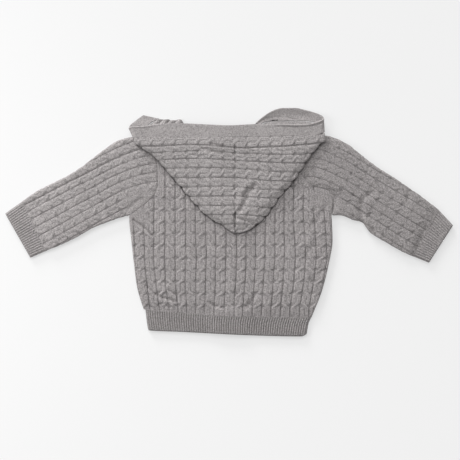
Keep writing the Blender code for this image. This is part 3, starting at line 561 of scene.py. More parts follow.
def back_knit(x, y):
    """The knit of the back and fronts: cables up and down."""
    lines = gutters_at(BACK_GUTTERS, GUTTER_LEVELS, y)
    column = column_of(x + 0.5 * wobble(x, y, 22.0, 0.3), lines, BACK_GUTTERS[0][0])
    return cables(column, y - BACK_CROSSING + CABLE_LENGTH / 2 + 0.7 * wobble(x, y, 30.0, 1.7))


def hood_knit(x, y):
    """The knit of the hood: cables from side to side."""
    lines = gutters_at(HOOD_GUTTERS[::-1], HOOD_PLACES, x)
    column = column_of(y + HOOD_SHIFT + 0.4 * wobble(x, y, 20.0, 2.2), lines, -HOOD_GUTTERS[-1][0])
    return cables(column + 1.0, x + 0.8 * wobble(x, y, 26.0, 0.9))


def sleeve_knit(side, x, y):
    """The knit of a sleeve: cables along it."""
    lines = gutters_at(SLEEVE_GUTTERS[side], SLEEVE_PLACES, side * x)
    down = reader(SLEEVE_GUTTER[side])(x) - y
    column = column_of(down + 0.5 * wobble(x, y, 20.0, 1.2), lines, SLEEVE_GUTTERS[side][0][0])
    slope = math.radians(SLEEVE_SLOPE[side])
    along = side * x * math.cos(slope) - y * math.sin(slope)
    return cables(column, along + 0.8 * wobble(x, y, 25.0, 2.6))


def rib(across, along):
    """One-and-one rib."""
    height = (0.5 + 0.5 * np.cos(2 * np.pi * across / RIB_PITCH)) ** RIB_ROUND
    return height, across / (RIB_PITCH / 2) + 0.5, along / STITCH_HEIGHT, across / RIB_PITCH + 0.5


def plain(across, along):
    """Plain knit."""
    height, column = np.full_like(across, PLAIN_HEIGHT), np.full_like(across, 0.5)
    return height, across / STITCH_WIDTH, along / STITCH_HEIGHT, column


# --- Meshes ---

def link(name, data):
    """A new object in the scene."""
    item = bpy.data.objects.new(name, data)
    bpy.context.scene.collection.objects.link(item)
    return item


def normals(grid, wrap=False):
    """Unit normals of a grid of points."""
    if wrap:
        grid = np.concatenate((grid[:, -1:], grid, grid[:, :1]), axis=1)
    normal = np.cross(np.gradient(grid, axis=1), np.gradient(grid, axis=0))
    normal /= np.maximum(np.linalg.norm(normal, axis=-1, keepdims=True), 1e-9)
    return normal[:, 1:-1] if wrap else normal


def grid_faces(rows, columns, start, wrap, turned):
    """The faces of a grid of vertices, with its corners in turn."""
    i = np.arange(rows - 1)[:, None]
    j = np.arange(columns if wrap else columns - 1)[None, :]
    k = (j + 1) % columns
    a, b, c, d = i * columns + j, i * columns + k, (i + 1) * columns + k, (i + 1) * columns + j
    order = (a, d, c, b) if turned else (a, b, c, d)
    return (np.stack(order, axis=-1).reshape(-1, 4) + start).tolist()


def border_faces(fine, coarse, step):
    """Triangles between an edge of the outer grid and the same, coarser edge of the inner one."""
    faces = []
    for k in range(len(coarse) - 1):
        for q in range(step):
            here, on = fine[k * step + q], fine[k * step + q + 1]
            faces.append((on, here, coarse[k] if q < step / 2 else coarse[k + 1]))
            if q == (step - 1) // 2:
                faces.append((on, coarse[k], coarse[k + 1]))
    return faces


def wall(name, outer, inner, knit, material, step=STEP, wrap=False, free=""):
    """A closed wall of cloth between a fine outer grid and a coarser inner grid. free names the
    borders that are not sewn to another piece: top, bottom, left or right of the grid."""
    rows, columns = outer.shape[:2]
    start = rows * columns
    faces = grid_faces(rows, columns, 0, wrap, False)
    faces += grid_faces(*inner.shape[:2], start, wrap, True)
    fine = np.arange(start).reshape(rows, columns)
    coarse = start + np.arange(inner.size // 3).reshape(inner.shape[:2])
    if wrap:
        loops = [[np.append(g[0], g[0, 0]) for g in (fine, coarse)],
                 [np.append(g[-1, 0], g[-1, ::-1]) for g in (fine, coarse)]]
        borders = {"top": loops[0][0], "bottom": loops[1][0]}
    else:
        loops = [[np.concatenate((g[0], g[1:, -1], g[-1, -2::-1], g[-2::-1, 0]))
                  for g in (fine, coarse)]]
        borders = {"top": fine[0], "bottom": fine[-1], "left": fine[:, 0], "right": fine[:, -1]}
    for fine_loop, coarse_loop in loops:
        faces += border_faces(fine_loop.tolist(), coarse_loop.tolist(), step)
    points = np.concatenate((outer.reshape(-1, 3), inner.reshape(-1, 3))) * MM
    mesh = bpy.data.meshes.new(name)
    mesh.from_pydata(points.tolist(), [], faces)
    corner = np.empty(len(mesh.loops), dtype=np.int32)
    mesh.loops.foreach_get("vertex_index", corner)
    height, across_stitches, rows_up, column = knit
    for label, pair in (("stitches", (across_stitches, rows_up)), ("relief", (height, column))):
        pair = np.stack(pair, axis=-1)
        uv = np.concatenate((pair.reshape(-1, 2), pair[::step, ::step].reshape(-1, 2)))
        layer = mesh.uv_layers.new(name=label)
        layer.data.foreach_set("uv", uv[corner].astype(np.float32).ravel())
    if signed_volume(mesh) < 0.0:
        mesh.flip_normals()
    mesh.shade_smooth()
    crisp_edges(mesh, [line for border, line in borders.items() if border not in free.split()])
    mesh.materials.append(material)
    return link(name, mesh)


def crisp_edges(mesh, lines):
    """Shade crisply across these runs of vertices, so that a seam shows no false shadow."""
    ends = np.empty(len(mesh.edges) * 2, dtype=np.int64)
    mesh.edges.foreach_get("vertices", ends)
    ends = np.sort(ends.reshape(-1, 2), axis=1)
    count = len(mesh.vertices)
    pairs = [np.sort(np.stack((line[:-1], line[1:]), axis=-1), axis=1) for line in lines]
    wanted = np.concatenate([pair[:, 0] * count + pair[:, 1] for pair in pairs])
    sharp = np.isin(ends[:, 0] * count + ends[:, 1], wanted)
    mesh.attributes.new("sharp_edge", "BOOLEAN", "EDGE").data.foreach_set("value", sharp)


def signed_volume(mesh):
    """Volume of a closed mesh, negative where its faces point in."""
    solid = bmesh.new()
    solid.from_mesh(mesh)
    volume = solid.calc_volume(signed=True)
    solid.free()
    return volume


# --- Surfaces of the solids, at a finer density ---

def both_faces(rows, face):
    """Outer and inner points of a wall. face gives one row of points, on its outer face for 0
    and on its inner face for 1."""
    return [np.array([face(row, inner) for row in rows]) for inner in (0, 1)]


def lift_over_placket(x, inside):
    away = np.abs(x - CENTRE_FRONT) - BAND_WIDTH / 2 - SEAM
    return (PLACKET_TOP + SEAM - inside) * (1.0 - ease(away / PLACKET_SLOPE))


def quarter_turn():
    """Sine of each step of a rolled edge's turn, and its reach in from the edge."""
    angles = np.linspace(0.0, np.pi / 2, EDGE_STEPS + 1)
    return np.sin(angles), 1.0 - np.cos(angles)


def across(left, right, rolled, inset, count):
    """Places across one layer, this far inside it, and their share of the turn down."""
    turn, reach = quarter_turn()
    middle = np.linspace(left + ROLL, right - ROLL, count - 2 * EDGE_STEPS)[1:-1]
    near_left, near_right = [roll * inset + (ROLL - roll * inset) * reach for roll in rolled]
    down = np.concatenate((rolled[0] * (1.0 - turn), np.zeros(len(middle)),
                           rolled[1] * (1.0 - turn[::-1])))
    return np.concatenate((left + near_left, middle, right - near_right[::-1])), down


def body_height(y, seam_height):
    return mix(NEAR_RIB_HEIGHT, BODY_HEIGHT, ramp(y, seam_height, EASE))


def side_roll(y):
    return 1.0 - ramp(y, *SIDE_ROLL)


def pressed_folds(x, y, folds):
    """How far the cloth sinks or rises along short listed creases."""
    level = np.zeros_like(x)
    for x0, y0, x1, y1, half, depth in folds:
        run = np.hypot(x1 - x0, y1 - y0)
        along = ((x - x0) * (x1 - x0) + (y - y0) * (y1 - y0)) / run
        aside = ((x - x0) * (y1 - y0) - (y - y0) * (x1 - x0)) / run
        aside = aside + FOLD_WANDER * np.sin(along / FOLD_WAVE + x0)
        ends = ease((along + half) / (2 * half)) * ease((run + half - along) / (2 * half))
        ridge = bell(aside - 2.0 * half, RIDGE_HALF * half)
        level = level + ends * depth * (RIDGE * ridge - bell(aside, half))
    return level


def under_folds(x, y, folds):
    """How far the cloth lies off the floor along its creases."""
    return np.clip(-pressed_folds(x, y, folds), 0.0, None)


def back_surface():
    """Outer and inner points of the back."""
    left_side, right_side = reader(BODY_SIDES, COLUMN[LEFT]), reader(BODY_SIDES, COLUMN[RIGHT])
    seam_line, top_line = reader(HEM, 1), reader(NECKLINE, 1)
    starts = [float(seam_line(BODY_SIDES[0][k])) + JOIN for k in (1, 2)]
    below = int(BACK_ROWS * BELOW_UNDERARM)
    levels = [np.concatenate((np.linspace(start, UNDERARM, below + 1)[:-1],
                              np.linspace(UNDERARM, SHOULDER, BACK_ROWS - below)))
              for start in starts]

    def face(ends, inner):
        left = left_side(ends[0]) + HALF_JOIN
        right = right_side(ends[1]) - HALF_JOIN
        shares = [(y - start) / (SHOULDER - start) for y, start in zip(ends, starts)]
        rolled = [side_roll(y) for y in ends]
        x, down = across(left, right, rolled, WALL * inner, BACK_COLUMNS)
        place = (x - left) / (right - left)
        y = mix(seam_line(x) + JOIN, top_line(x), mix(*shares, place))
        y = y + mix(ends[0] - y[0], ends[1] - y[-1], place)
        height = body_height(y, seam_line(x))
        top = height + lift_over_placket(x, height - WALL) - WALL * inner
        return np.stack((x, y, top - down * (top - (height / 2 + SEAM / 2))), axis=-1)

    return both_faces(list(zip(*levels)), face)


def rib_surface():
    """Outer and inner points of the back's hem rib."""
    left_side, right_side = reader(RIB_SIDES, COLUMN[LEFT]), reader(RIB_SIDES, COLUMN[RIGHT])
    seam_line, hem_line = reader(HEM, 1), reader(HEM, 2)

    def face(v, inner):
        x, down = across(left_side(v), right_side(v), (1.0, 1.0), RIB_WALL * inner, BACK_RIB_COLUMNS)
        top = RIB_HEIGHT + lift_over_placket(x, RIB_HEIGHT - RIB_WALL) - RIB_WALL * inner
        z = top - down * (top - RIB_HEIGHT / 2 - SEAM / 2)
        return np.stack((x, mix(seam_line(x), hem_line(x), v), z), axis=-1)

    return both_faces(evenly(RIB_ROWS), face)


def band_floor(y):
    return BAND_LIFT * ramp(y, *BAND_LIFTS)


def front_surface(side, rows, thickness, columns):
    """Outer and inner points of a front or its rib. A row is the place of its end by the side
    seam, how far that is rolled, the garment's height there, and its height along the row."""
    turn, reach = quarter_turn()
    edge = CENTRE_FRONT + side * (BAND_WIDTH / 2 + SEAM)
    edge_lift = LEFT_EDGE_LIFT if side == LEFT else 0.0

    def face(row, inner):
        side_x, side_y, roll, height, line = row
        width = abs(edge - side_x)
        level = thickness * inner
        middle = np.linspace(ROLL, width, columns - EDGE_STEPS)[1:]
        turned = np.concatenate((roll * (1.0 - turn), np.zeros(len(middle))))
        places = np.concatenate((roll * level + (ROLL - roll * level) * reach, middle))
        x = side_x - side * places
        y = line(x)
        y = y + (side_y - y[0]) * (1.0 - places / width)
        by_band = 1.0 - ease((width - places) / PLACKET_SLOPE)
        floor = level + (band_floor(y) + edge_lift) * by_band
        return np.stack((x, y, floor + turned * (height / 2 - SEAM / 2 - floor)), axis=-1)

    return both_faces(rows, face)


def tube_surface(plan, lengths, heights, thickness, columns):
    """Outer and inner points of a flattened tube, round from its upper edge. plan gives the place
    along and across it."""
    def face(station, inner):
        t, height = station
        inset = thickness * inner
        width = np.linalg.norm(plan(t, np.array([0.0])) - plan(t, np.array([1.0])))
        places, down = across(0.0, width, (1.0, 1.0), inset, columns)
        levels = height / 2 + (height / 2 - inset) * (1.0 - down)
        places = np.concatenate((places, places[-2:0:-1]))
        levels = np.concatenate((levels, height - levels[-2:0:-1]))
        return np.concatenate((plan(t, places / width), levels[:, None]), axis=1)

    return both_faces(list(zip(lengths, heights)), face)


def sleeve_plans(side):
    """The outlines of a sleeve and its cuff, and the length of the sleeve's upper edge."""
    edge = reader(BODY_SIDES, COLUMN[side])
    shoulder, underarm = [(float(edge(y)) + side * HALF_JOIN, y) for y in (SHOULDER, UNDERARM)]
    top = path((shoulder, *SLEEVE_TOP[side]))
    bottom = path((underarm, *SLEEVE_BOTTOM[side]))
    wrist = np.array(WRIST[side])

    def plan(t, u):
        height = mix(SHOULDER, UNDERARM, u)
        armhole = np.stack((edge(height) + side * HALF_JOIN, height), axis=-1)
        u = u[:, None]
        cuff_edge = mix(top(1.0), bottom(1.0), u)
        sides = mix(top(t), bottom(t), u)
        ends = mix(armhole, cuff_edge, t)
        return sides + ends - mix(mix(top(0.0), bottom(0.0), u), cuff_edge, t)

    def cuff_plan(t, u):
        inset = CUFF_INSET * (1.0 - t)
        u = inset + u[:, None] * (1.0 - 2 * inset)
        seam_edge = mix(top(1.0), bottom(1.0), u)
        away = mix(wrist[0], wrist[1], u) - seam_edge
        length = np.linalg.norm(away, axis=1, keepdims=True)
        return seam_edge + away * mix(JOIN / length, 1.0, t)

    return plan, cuff_plan, np.linalg.norm(top(1.0) - top(0.0))


def hood_surface(side):
    """Outer and inner points of half of the hood."""
    table = HOOD_FOLD[side]
    fold_x, fold_y = reader(table, 1), reader(table, 2)
    under_edge = reader(UNDER_EDGE[side])
    seam_top, seam_tip = table[0][0], table[-1][0]
    centre_x = CENTRE_BACK + side * HALF_JOIN
    turn = np.linspace(0.0, np.pi, HOOD_TURNS)
    leg_end = np.ones(HOOD_COLUMNS - 1)
    lower = np.concatenate((0.0 * leg_end, (1.0 - np.cos(turn)) / 2, leg_end))

    def face(v, inner):
        inset = WALL * inner
        seam_y = mix(seam_top, seam_tip, v ** HOOD_SPACING)
        fold = np.array((fold_x(seam_y), fold_y(seam_y)))
        centre = np.array((centre_x, seam_y))
        length = np.linalg.norm(fold - centre)
        radius = mix(2 * WALL + 2 * SEAM, HOOD_HEIGHT, ease((1.0 - v) / HOOD_PINCH)) / 2
        leg = length - (length - radius) * evenly(HOOD_COLUMNS)
        bend = radius - (radius - inset) * np.sin(turn)
        reach = np.concatenate((leg[:-1], bend, leg[::-1][1:]))
        level = np.concatenate(((radius - inset) * leg_end, (radius - inset) * np.cos(turn),
                                (inset - radius) * leg_end))
        x, y = (fold + (centre - fold) / length * reach[:, None]).T
        along_top = (x - centre_x) / (table[0][1] - centre_x)
        stretch = under_edge(x) - mix(seam_top, table[0][2], along_top)
        y = y + lower * (stretch * (1.0 - v) ** UNDER_STRETCH)
        y = y + (SEAM - JOIN) * ease(1.0 - v / TOP_GAP_EASE)
        if side == RIGHT:
            y = y + CORNER_FILL * 4.0 * lower * (1.0 - lower) * ease(1.0 - v / CORNER_EASE)
        base = mix(HOOD_BASE, HOOD_BASE * (1.0 - ramp(y, *HOOD_FALL)), lower)
        z = base + radius + level + lift_over_placket(x, BODY_HEIGHT - WALL)
        return np.stack((x, y, z), axis=-1)

    return both_faces(evenly(HOOD_ROWS), face)


def band_surface():
    """The middle of the face band, with the places along and across it."""
    rows = np.array(FACE_BAND)
    runs = np.linalg.norm(np.diff((rows[:, :3] + rows[:, 3:]) / 2, axis=0), axis=1)
    along = np.concatenate(([0.0], np.cumsum(runs))) / runs.sum()
    edges = [reader(list(zip(along, rows[:, k]))) for k in range(6)]
    stations = np.linspace(0, len(rows) - 1, FACE_BAND_STEPS * (len(rows) - 1) + 1)
    at = np.interp(stations, np.arange(len(rows)), along)
    free, sewn = [np.stack([edge(at) for edge in three], axis=-1)
                  for three in (edges[:3], edges[3:])]
    shares = evenly(FACE_BAND_COLUMNS)
    middle = np.stack([mix(free, sewn, k) for k in shares], axis=1)
    curled = ramp(at, along[CURL_ROW], CURL_EASE)
    middle[:, :, 2] -= LOOP_SAG * curled[:, None] * np.sin(np.pi * shares)[None, :]
    lift = lift_over_placket(middle[:, :, 0], BODY_HEIGHT - WALL)
    middle[:, :, 2] += lift * (middle[:, :, 2] > UPPER_BAND)
    return middle, at * runs.sum(), shares * np.linalg.norm(free - sewn, axis=1).mean()


# --- Materials ---

class Look:
    """A material, with short ways to add nodes to it. Inputs take numbers, colours or outputs."""

    def __init__(self, name):
        self.material = bpy.data.materials.new(name)
        self.material.use_nodes = True
        self.tree = self.material.node_tree
        self.shader = self.tree.nodes["Principled BSDF"]

    def feed(self, made, inputs):
        """Give a node's inputs, by name or number, their values."""
        for key, value in inputs.items():
            if isinstance(value, bpy.types.NodeSocket):
                self.tree.links.new(value, made.inputs[key])
            else:
                made.inputs[key].default_value = value
        return made

    def node(self, kind, inputs=None, **settings):
        made = self.tree.nodes.new("ShaderNode" + kind)
        for name, value in settings.items():
            setattr(made, name, value)
        return self.feed(made, inputs or {})

    def maths(self, operation, a, b=0.0, c=0.0):
        return self.node("Math", {0: a, 1: b, 2: c}, operation=operation).outputs[0]

    def times(self, *values):
        """The product of these values, from left to right."""
        result = values[0]
        for value in values[1:]:
            result = self.maths("MULTIPLY", result, value)
        return result

    def centred(self, value):
        """How far a value is past the middle between two whole numbers."""
        return self.maths("SUBTRACT", self.maths("FRACT", value), 0.5)

    def layer(self, name):
        return self.node("UVMap", uv_map=name).outputs["UV"]

    def parts(self, vector):
        return self.node("SeparateXYZ", {0: vector}).outputs

    def noise(self, scale, detail=2.0, roughness=0.5, output="Fac"):
        place = self.node("TexCoord").outputs["Object"]
        return self.node("TexNoise", {"Vector": place, "Scale": scale, "Detail": detail,
                                      "Roughness": roughness}).outputs[output]

    def blend(self, share, first, second, kind="MIX"):
        return self.node("Mix", {"Factor": share, "A": first, "B": second}, data_type="RGBA",
                         blend_type=kind).outputs["Result"]

    def spread(self, value, low, high, to_low, to_high):
        """Map a value from one range to another, held at its ends."""
        return self.node("MapRange", {"Value": value, "From Min": low, "From Max": high,
                                      "To Min": to_low, "To Max": to_high}).outputs["Result"]

    def finish(self, strength, distance, height, **surface):
        """Set the surface and a bump of this height in millimetres."""
        bump = self.node("Bump", {"Strength": strength, "Distance": distance * MM, "Height": height})
        self.feed(self.shader, {key.replace("_", " "): value for key, value in surface.items()})
        self.feed(self.shader, {"Normal": bump.outputs[0]})
        return self.material


def knit_material(name, colour, stitch_depth, fleck=1.0, shadow=1.0):
    """Heathered wool: vees of yarn, loose fibres, and light and dark flecks in the yarn, with
    painted shade between the stitches, where the relief is low, along the gutters' creases and in
    the buttonhole and rope valleys. shadow scales the painted shade of the gutters and creases.
    """
    look = Look(name)
    maths, spread, noise, times = look.maths, look.spread, look.noise, look.times
    relief = look.parts(look.layer("relief"))
    # Each gutter's crease line, both bumped in and darkened with painted shade below
    to_gutter = maths("ABSOLUTE", look.centred(relief["Y"]))
    crease = times(spread(to_gutter, 0.45, 0.5, 0.0, 1.0),
                   spread(noise(CREASE_SCALE, 1.0), 0.38, 0.62, 0.1, 1.0))
    ragged = noise(RAGGED_SCALE, 1.0, output="Color")
    wander = {0: ragged, 1: (RAGGED, RAGGED, 0.0), 2: look.layer("stitches")}
    shifted = look.node("VectorMath", wander, operation="MULTIPLY_ADD")
    stitch = look.parts(shifted.outputs[0])
    leg = maths("ABSOLUTE", look.centred(stitch["X"]))
    row = maths("FRACT", maths("MULTIPLY_ADD", leg, VEE_SLANT, stitch["Y"]))
    beside = times(maths("SUBTRACT", leg, 0.25), 4.0)
    rounded = maths("SUBTRACT", 1.0, times(beside, beside))
    arc = maths("SINE", times(row, math.pi))
    yarn = times(rounded, maths("MULTIPLY_ADD", arc, 0.6, 0.4))
    height = maths("MULTIPLY_ADD", noise(FIBRE_SCALE, 3.0, 0.7), FIBRE_HEIGHT, yarn)
    height = maths("MULTIPLY_ADD", crease, CREASE_HEIGHT, height)

    speckle = maths("ADD", times(noise(FINE_SCALE, 2.0, 0.6), 0.45),
                    times(noise(BROAD_SCALE, 3.0, 0.6), 0.55))
    dark, light = [(*(min(1.0, c * (1.0 + way * FLECK * fleck)) for c in colour), 1.0)
                   for way in (-1, 1)]
    heather = look.blend(spread(speckle, 0.33, 0.67, 0.0, 1.0), dark, light)
    # Painted shade: darker between the stitches' vees, where the relief is low in the gutters, where
    # it drops below zero in the buttonhole and the ropes' valleys, and along the creases; the patch
    # noise is random tone
    painted_stitch_shade = spread(yarn, 0.0, 0.7, 0.70, 1.06)
    patch = spread(noise(PATCH_SCALE), 0.3, 0.7, 0.95, 1.05)
    painted_gutter_shade = spread(relief["X"], 0.0, 0.85, 1.0 - 0.26 * shadow, 1.0 + 0.10 * shadow)
    painted_hole_shade = spread(relief["X"], -1.0, 0.0, 0.12, 1.0)
    shade = times(painted_stitch_shade, patch, painted_gutter_shade, painted_hole_shade, maths("MULTIPLY_ADD", crease, -0.15 * shadow, 1.0))
    tone = look.node("CombineXYZ", {0: shade, 1: shade, 2: shade}).outputs[0]
    look.feed(look.shader, {"Sheen Tint": (0.9, 0.88, 0.87, 1.0)})
    tinted = look.blend(1.0, heather, tone, "MULTIPLY")
    return look.finish(BUMP, stitch_depth, height, Base_Color=tinted, Roughness=0.95,
                       Specular_IOR_Level=0.22, Sheen_Weight=0.18, Sheen_Roughness=0.6)


def button_material():
    """Grey moulded plastic with a faint marbling and worn gloss."""
    look = Look("button_finish")
    colour = look.blend(look.spread(look.noise(420.0, 4.0, 0.6), 0.35, 0.65, 0.0, 1.0),
                        (0.33, 0.31, 0.29, 1.0), (0.47, 0.45, 0.42, 1.0))
    wear = look.noise(1600.0, 3.0, 0.6)
    return look.finish(0.15, 0.1, wear, Base_Color=colour,
                       Roughness=look.spread(wear, 0.3, 0.7, 0.32, 0.5))


# --- Pieces ---

def dress(item):
    """Put a piece of cloth in the place of its solid."""
    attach(item, "root")
    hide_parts(item.name.removeprefix("knit_"))


def outward_relief(outer, inner, relief, wrap=False):
    """The outer points moved along the normals that point away from the inner ones."""
    normal = normals(outer, wrap)
    way = np.sign((normal * (outer - inner)).sum())
    return outer + normal * relief[..., None] * way


def under_hood(x, y):
    """1 where the hood lies on the cloth, easing to 0 beside it."""
    line = sorted((row[1], row[2]) for side in SIDES for row in HOOD_FOLD[side])
    below = np.interp(x, *np.array(line).T) - y
    return ease((UNDER_HOOD_SHIFT - below + 0.9 * wobble(x, y, 9.0, 0.4)) / UNDER_HOOD_EASE)


def armhole_groove(x, y):
    """How deep the armhole's seam is pressed in: less by the left underarm, where plain meets plain,
    and less over the right armhole's curve, which the sleeve's cloth fills."""
    left = (x < 0.0) * (1.0 - ramp(y, *GUSSET_SEAM))
    right = (x > 0.0) * ramp(y, *CURVE_SEAM)
    return mix(ARMHOLE_GROOVE, GUSSET_GROOVE, left) - ARMHOLE_LESS * right


def swell(share, power=CROWN_SIDE):
    """1 over the middle of a piece, 0 at its sides."""
    return 1.0 - np.abs(2.0 * np.clip(share, 0.0, 1.0) - 1.0) ** power


def upper_layer(z, height):
    """1 on the upper layer of a flattened tube of this height, 0 on its underside."""
    return ramp(z / height, 0.5, UPPER_EASE)


def seam_distance(outer, wrap=False):
    """How far each place of a grid is from its nearest border, in millimetres."""
    from_ends = []
    for axis, count in enumerate(outer.shape[:2]):
        cell = np.linalg.norm(np.diff(outer, axis=axis), axis=-1).mean()
        place = np.arange(count)
        from_ends.append(np.minimum(place, place[::-1]) * cell)
    i, j = from_ends[0][:, None], from_ends[1][None, :]
    return np.minimum(i, np.inf if wrap else j) * np.ones(outer.shape[:2])


def evened(height, inside, x, y):
    """How strong the knit is this far inside a border, and its height, which evens out there."""
    strength = ease(inside / SEAM_FADE) * (KNIT_STRENGTH + KNIT_UNEVEN * wobble(x, y, 40.0, 1.9))
    return strength, mix(MEAN_HEIGHT, height, strength)


def cloth_piece(node_name, outer, inner, knit, material, depth, rise=0.0, lift=0.0, step=STEP,
                wrap=False, free="", groove=0.0, deep=()):
    """One knitted piece on its solid's surfaces. lift moves the whole wall up, as folds do. The
    knit stands between depth under the outer surface and rise over it, and evens out at the
    borders, where groove presses a seam in. deep names gutters (column, half width, depth)."""
    outer, inner = outer.copy(), inner.copy()
    outer[:, :, 2] += lift
    inner[:, :, 2] += lift
    x, y, _ = np.moveaxis(outer, -1, 0)
    inside = seam_distance(outer, wrap)
    strength, height = evened(knit[0], inside, x, y)
    relief = height * (depth + rise) - depth - groove * bell(inside, SEAM_GROOVE)
    for column, half, extra in deep:
        relief = relief - extra * bell(knit[3] - column, half) * strength
    moved = outward_relief(outer, inner, relief, wrap)
    moved[:, :, 2] = np.maximum(moved[:, :, 2], 0.0)   # its weight presses it flat on the floor
    return wall("knit_" + node_name, moved, inner[::step, ::step], knit, material, step, wrap, free)


def make_back(material):
    outer, inner = back_surface()
    x, y, _ = np.moveaxis(outer, -1, 0)
    open_air = 1.0 - under_hood(x, y)
    near_hood = 1.0 - under_hood(x, y + 1.0)
    share = (x - x[:, :1]) / (x[:, -1:] - x[:, :1])
    from_rib = ease((y - y[:1]) / CROWN_FROM_RIB)
    lift = CROWN * swell(share, CROWN_BACK) * from_rib * near_hood
    lift = lift + pressed_folds(x, y, BACK_FOLDS) * open_air
    lift = lift + LAY * wobble(x, y, 17.0, 0.8) * open_air * from_rib * swell(share, LAY_SIDE)
    lift = lift - RIB_STEP / 2 * bell(y - y[:1], SEAM_FADE)
    knit = with_plain(back_knit(x, y), x, y, BODY_PLAIN)
    above = ease((y - UNDERARM + ABOVE_UNDERARM) / ABOVE_UNDERARM)
    item = cloth_piece("back", outer, inner, knit, material, CABLE_DEPTH, CABLE_RISE * open_air,
                       lift=lift, groove=armhole_groove(x, y) * above)
    dress(item)


def make_back_rib(material):
    outer, inner = rib_surface()
    steps = np.diff(outer[RIB_ROWS // 2], axis=0, prepend=outer[RIB_ROWS // 2][:1])
    places = np.broadcast_to(np.cumsum(np.linalg.norm(steps, axis=1)), outer.shape[:2])
    lift = RIB_STEP / 2 * bell(np.linalg.norm(outer - outer[:1], axis=-1), SEAM_FADE)
    item = cloth_piece("back_rib", outer, inner, rib(places, outer[:, :, 1]), material, RIB_DEPTH,
                       RIB_RISE, lift=lift, free="bottom")
    dress(item)


def make_front(side, cable, rib_yarn):
    seam_line, hem_line, top_line = reader(HEM, 1), reader(HEM, 2), reader(NECKLINE, 2)
    body_side, rib_side = reader(BODY_SIDES, COLUMN[side]), reader(RIB_SIDES, COLUMN[side])
    start = float(seam_line(BODY_SIDES[0][COLUMN[side]])) + JOIN
    levels = np.concatenate((np.linspace(start, UNDERARM, FRONT_ROWS_BELOW)[:-1],
                             np.linspace(UNDERARM, SHOULDER, FRONT_ROWS_ABOVE)))
    shares = (levels - start) / (SHOULDER - start)
    rows = [(float(body_side(y)) - side * HALF_JOIN, y, side_roll(y), body_height(y, start),
             lambda x, share=share: mix(seam_line(x) + JOIN, top_line(x), share))
            for y, share in zip(levels, shares)]
    outer, inner = front_surface(side, rows, WALL, FRONT_COLUMNS)
    x, y, _ = np.moveaxis(outer, -1, 0)
    item = cloth_piece("front_" + SIDES[side], outer, inner, back_knit(x, y), cable, CABLE_DEPTH,
                       lift=under_folds(x, y, FRONT_FOLDS))
    dress(item)
    rows = []
    for v in evenly(RIB_ROWS):
        def line(x, v=v):
            return mix(seam_line(x), hem_line(x), v)

        rows.append((float(rib_side(v)), float(line(rib_side(v))), 1.0, RIB_HEIGHT, line))
    outer, inner = front_surface(side, rows, RIB_WALL, FRONT_RIB_COLUMNS)
    x, y, _ = np.moveaxis(outer, -1, 0)
    item = cloth_piece("front_rib_" + SIDES[side], outer, inner, rib(x, y), rib_yarn, RIB_DEPTH,
                       free="bottom")
    dress(item)


def make_front_bands(material):
    hem_line, top_line = reader(HEM, 2), reader(NECKLINE, 2)
    x = CENTRE_FRONT + np.linspace(-BAND_WIDTH / 2, BAND_WIDTH / 2, FRONT_BAND_COLUMNS)
    for label, base, on in (("right", 0.0, "floor"),
                            ("left", RIB_WALL + SEAM, "knit_front_band_right")):
        def face(v, inner):
            y = mix(hem_line(x), top_line(x), v)
            return np.stack((x, y, band_floor(y) + base + RIB_WALL * inner), axis=-1)

        outer, inner = both_faces(evenly(FRONT_BAND_ROWS), face)
        item = cloth_piece("front_band_" + label, outer, inner,
                           plain(outer[:, :, 0], outer[:, :, 1]), material, PLAIN_DEPTH)
        dress(item)


def make_sleeve(side, cable, rib_yarn):
    plan, cuff_plan, run = sleeve_plans(side)
    lengths = evenly(SLEEVE_ROWS)
    heights = mix(NEAR_RIB_HEIGHT, BODY_HEIGHT, ease((1.0 - lengths) * run / EASE))
    outer, inner = tube_surface(plan, lengths, heights, WALL, SLEEVE_COLUMNS)
    x, y, z = np.moveaxis(outer, -1, 0)
    share = np.abs(np.linspace(-1.0, 1.0, outer.shape[1], endpoint=False))[None, :]
    upper = upper_layer(z, heights[:, None])
    open_air = upper * (1.0 - under_hood(x, y))
    mid_length = (ease(lengths * run / CROWN_END) * ease((1.0 - lengths) * run / CROWN_END))[:, None]
    folds = SLEEVE_FOLDS[side]
    lift = CROWN * swell(share) * mid_length * open_air + pressed_folds(x, y, folds) * open_air
    creases = UNDER_FOLD_SHARE * under_folds(x - side * UNDER_FOLD_SHIFT, y, folds)
    lift = lift + np.minimum(creases, UNDER_FOLD_MOST) * mid_length * (1.0 - upper)
    knit = with_plain(sleeve_knit(side, x, y), x, y, SLEEVE_PLAIN[side])
    item = cloth_piece("sleeve_" + SIDES[side], outer, inner, knit, cable, SLEEVE_DEPTH,
                       SLEEVE_RISE * open_air, lift=lift, wrap=True,
                       groove=armhole_groove(x, y) * (lengths[:, None] < 0.5),
                       deep=SLEEVE_DEEP[side])
    dress(item)
    outer, inner = tube_surface(cuff_plan, evenly(RIB_ROWS),
                                np.full(RIB_ROWS, RIB_HEIGHT), RIB_WALL, CUFF_COLUMNS)
    middle = outer[RIB_ROWS // 2]
    steps = np.diff(np.concatenate((middle, middle[:1])), axis=0)
    round_cuff = np.cumsum(np.linalg.norm(steps, axis=1))
    ribs = round(round_cuff[-1] / RIB_PITCH)
    places = np.concatenate(([0.0], round_cuff[:-1])) / round_cuff[-1] * ribs * RIB_PITCH
    places = np.broadcast_to(places, outer.shape[:2])
    along = np.broadcast_to(np.linspace(0.0, CUFF_STITCHES, RIB_ROWS)[:, None], outer.shape[:2])
    item = cloth_piece("cuff_" + SIDES[side], outer, inner, rib(places, along), rib_yarn, CUFF_DEPTH,
                       RIB_RISE * upper_layer(outer[:, :, 2], RIB_HEIGHT), wrap=True, free="bottom")
    dress(item)


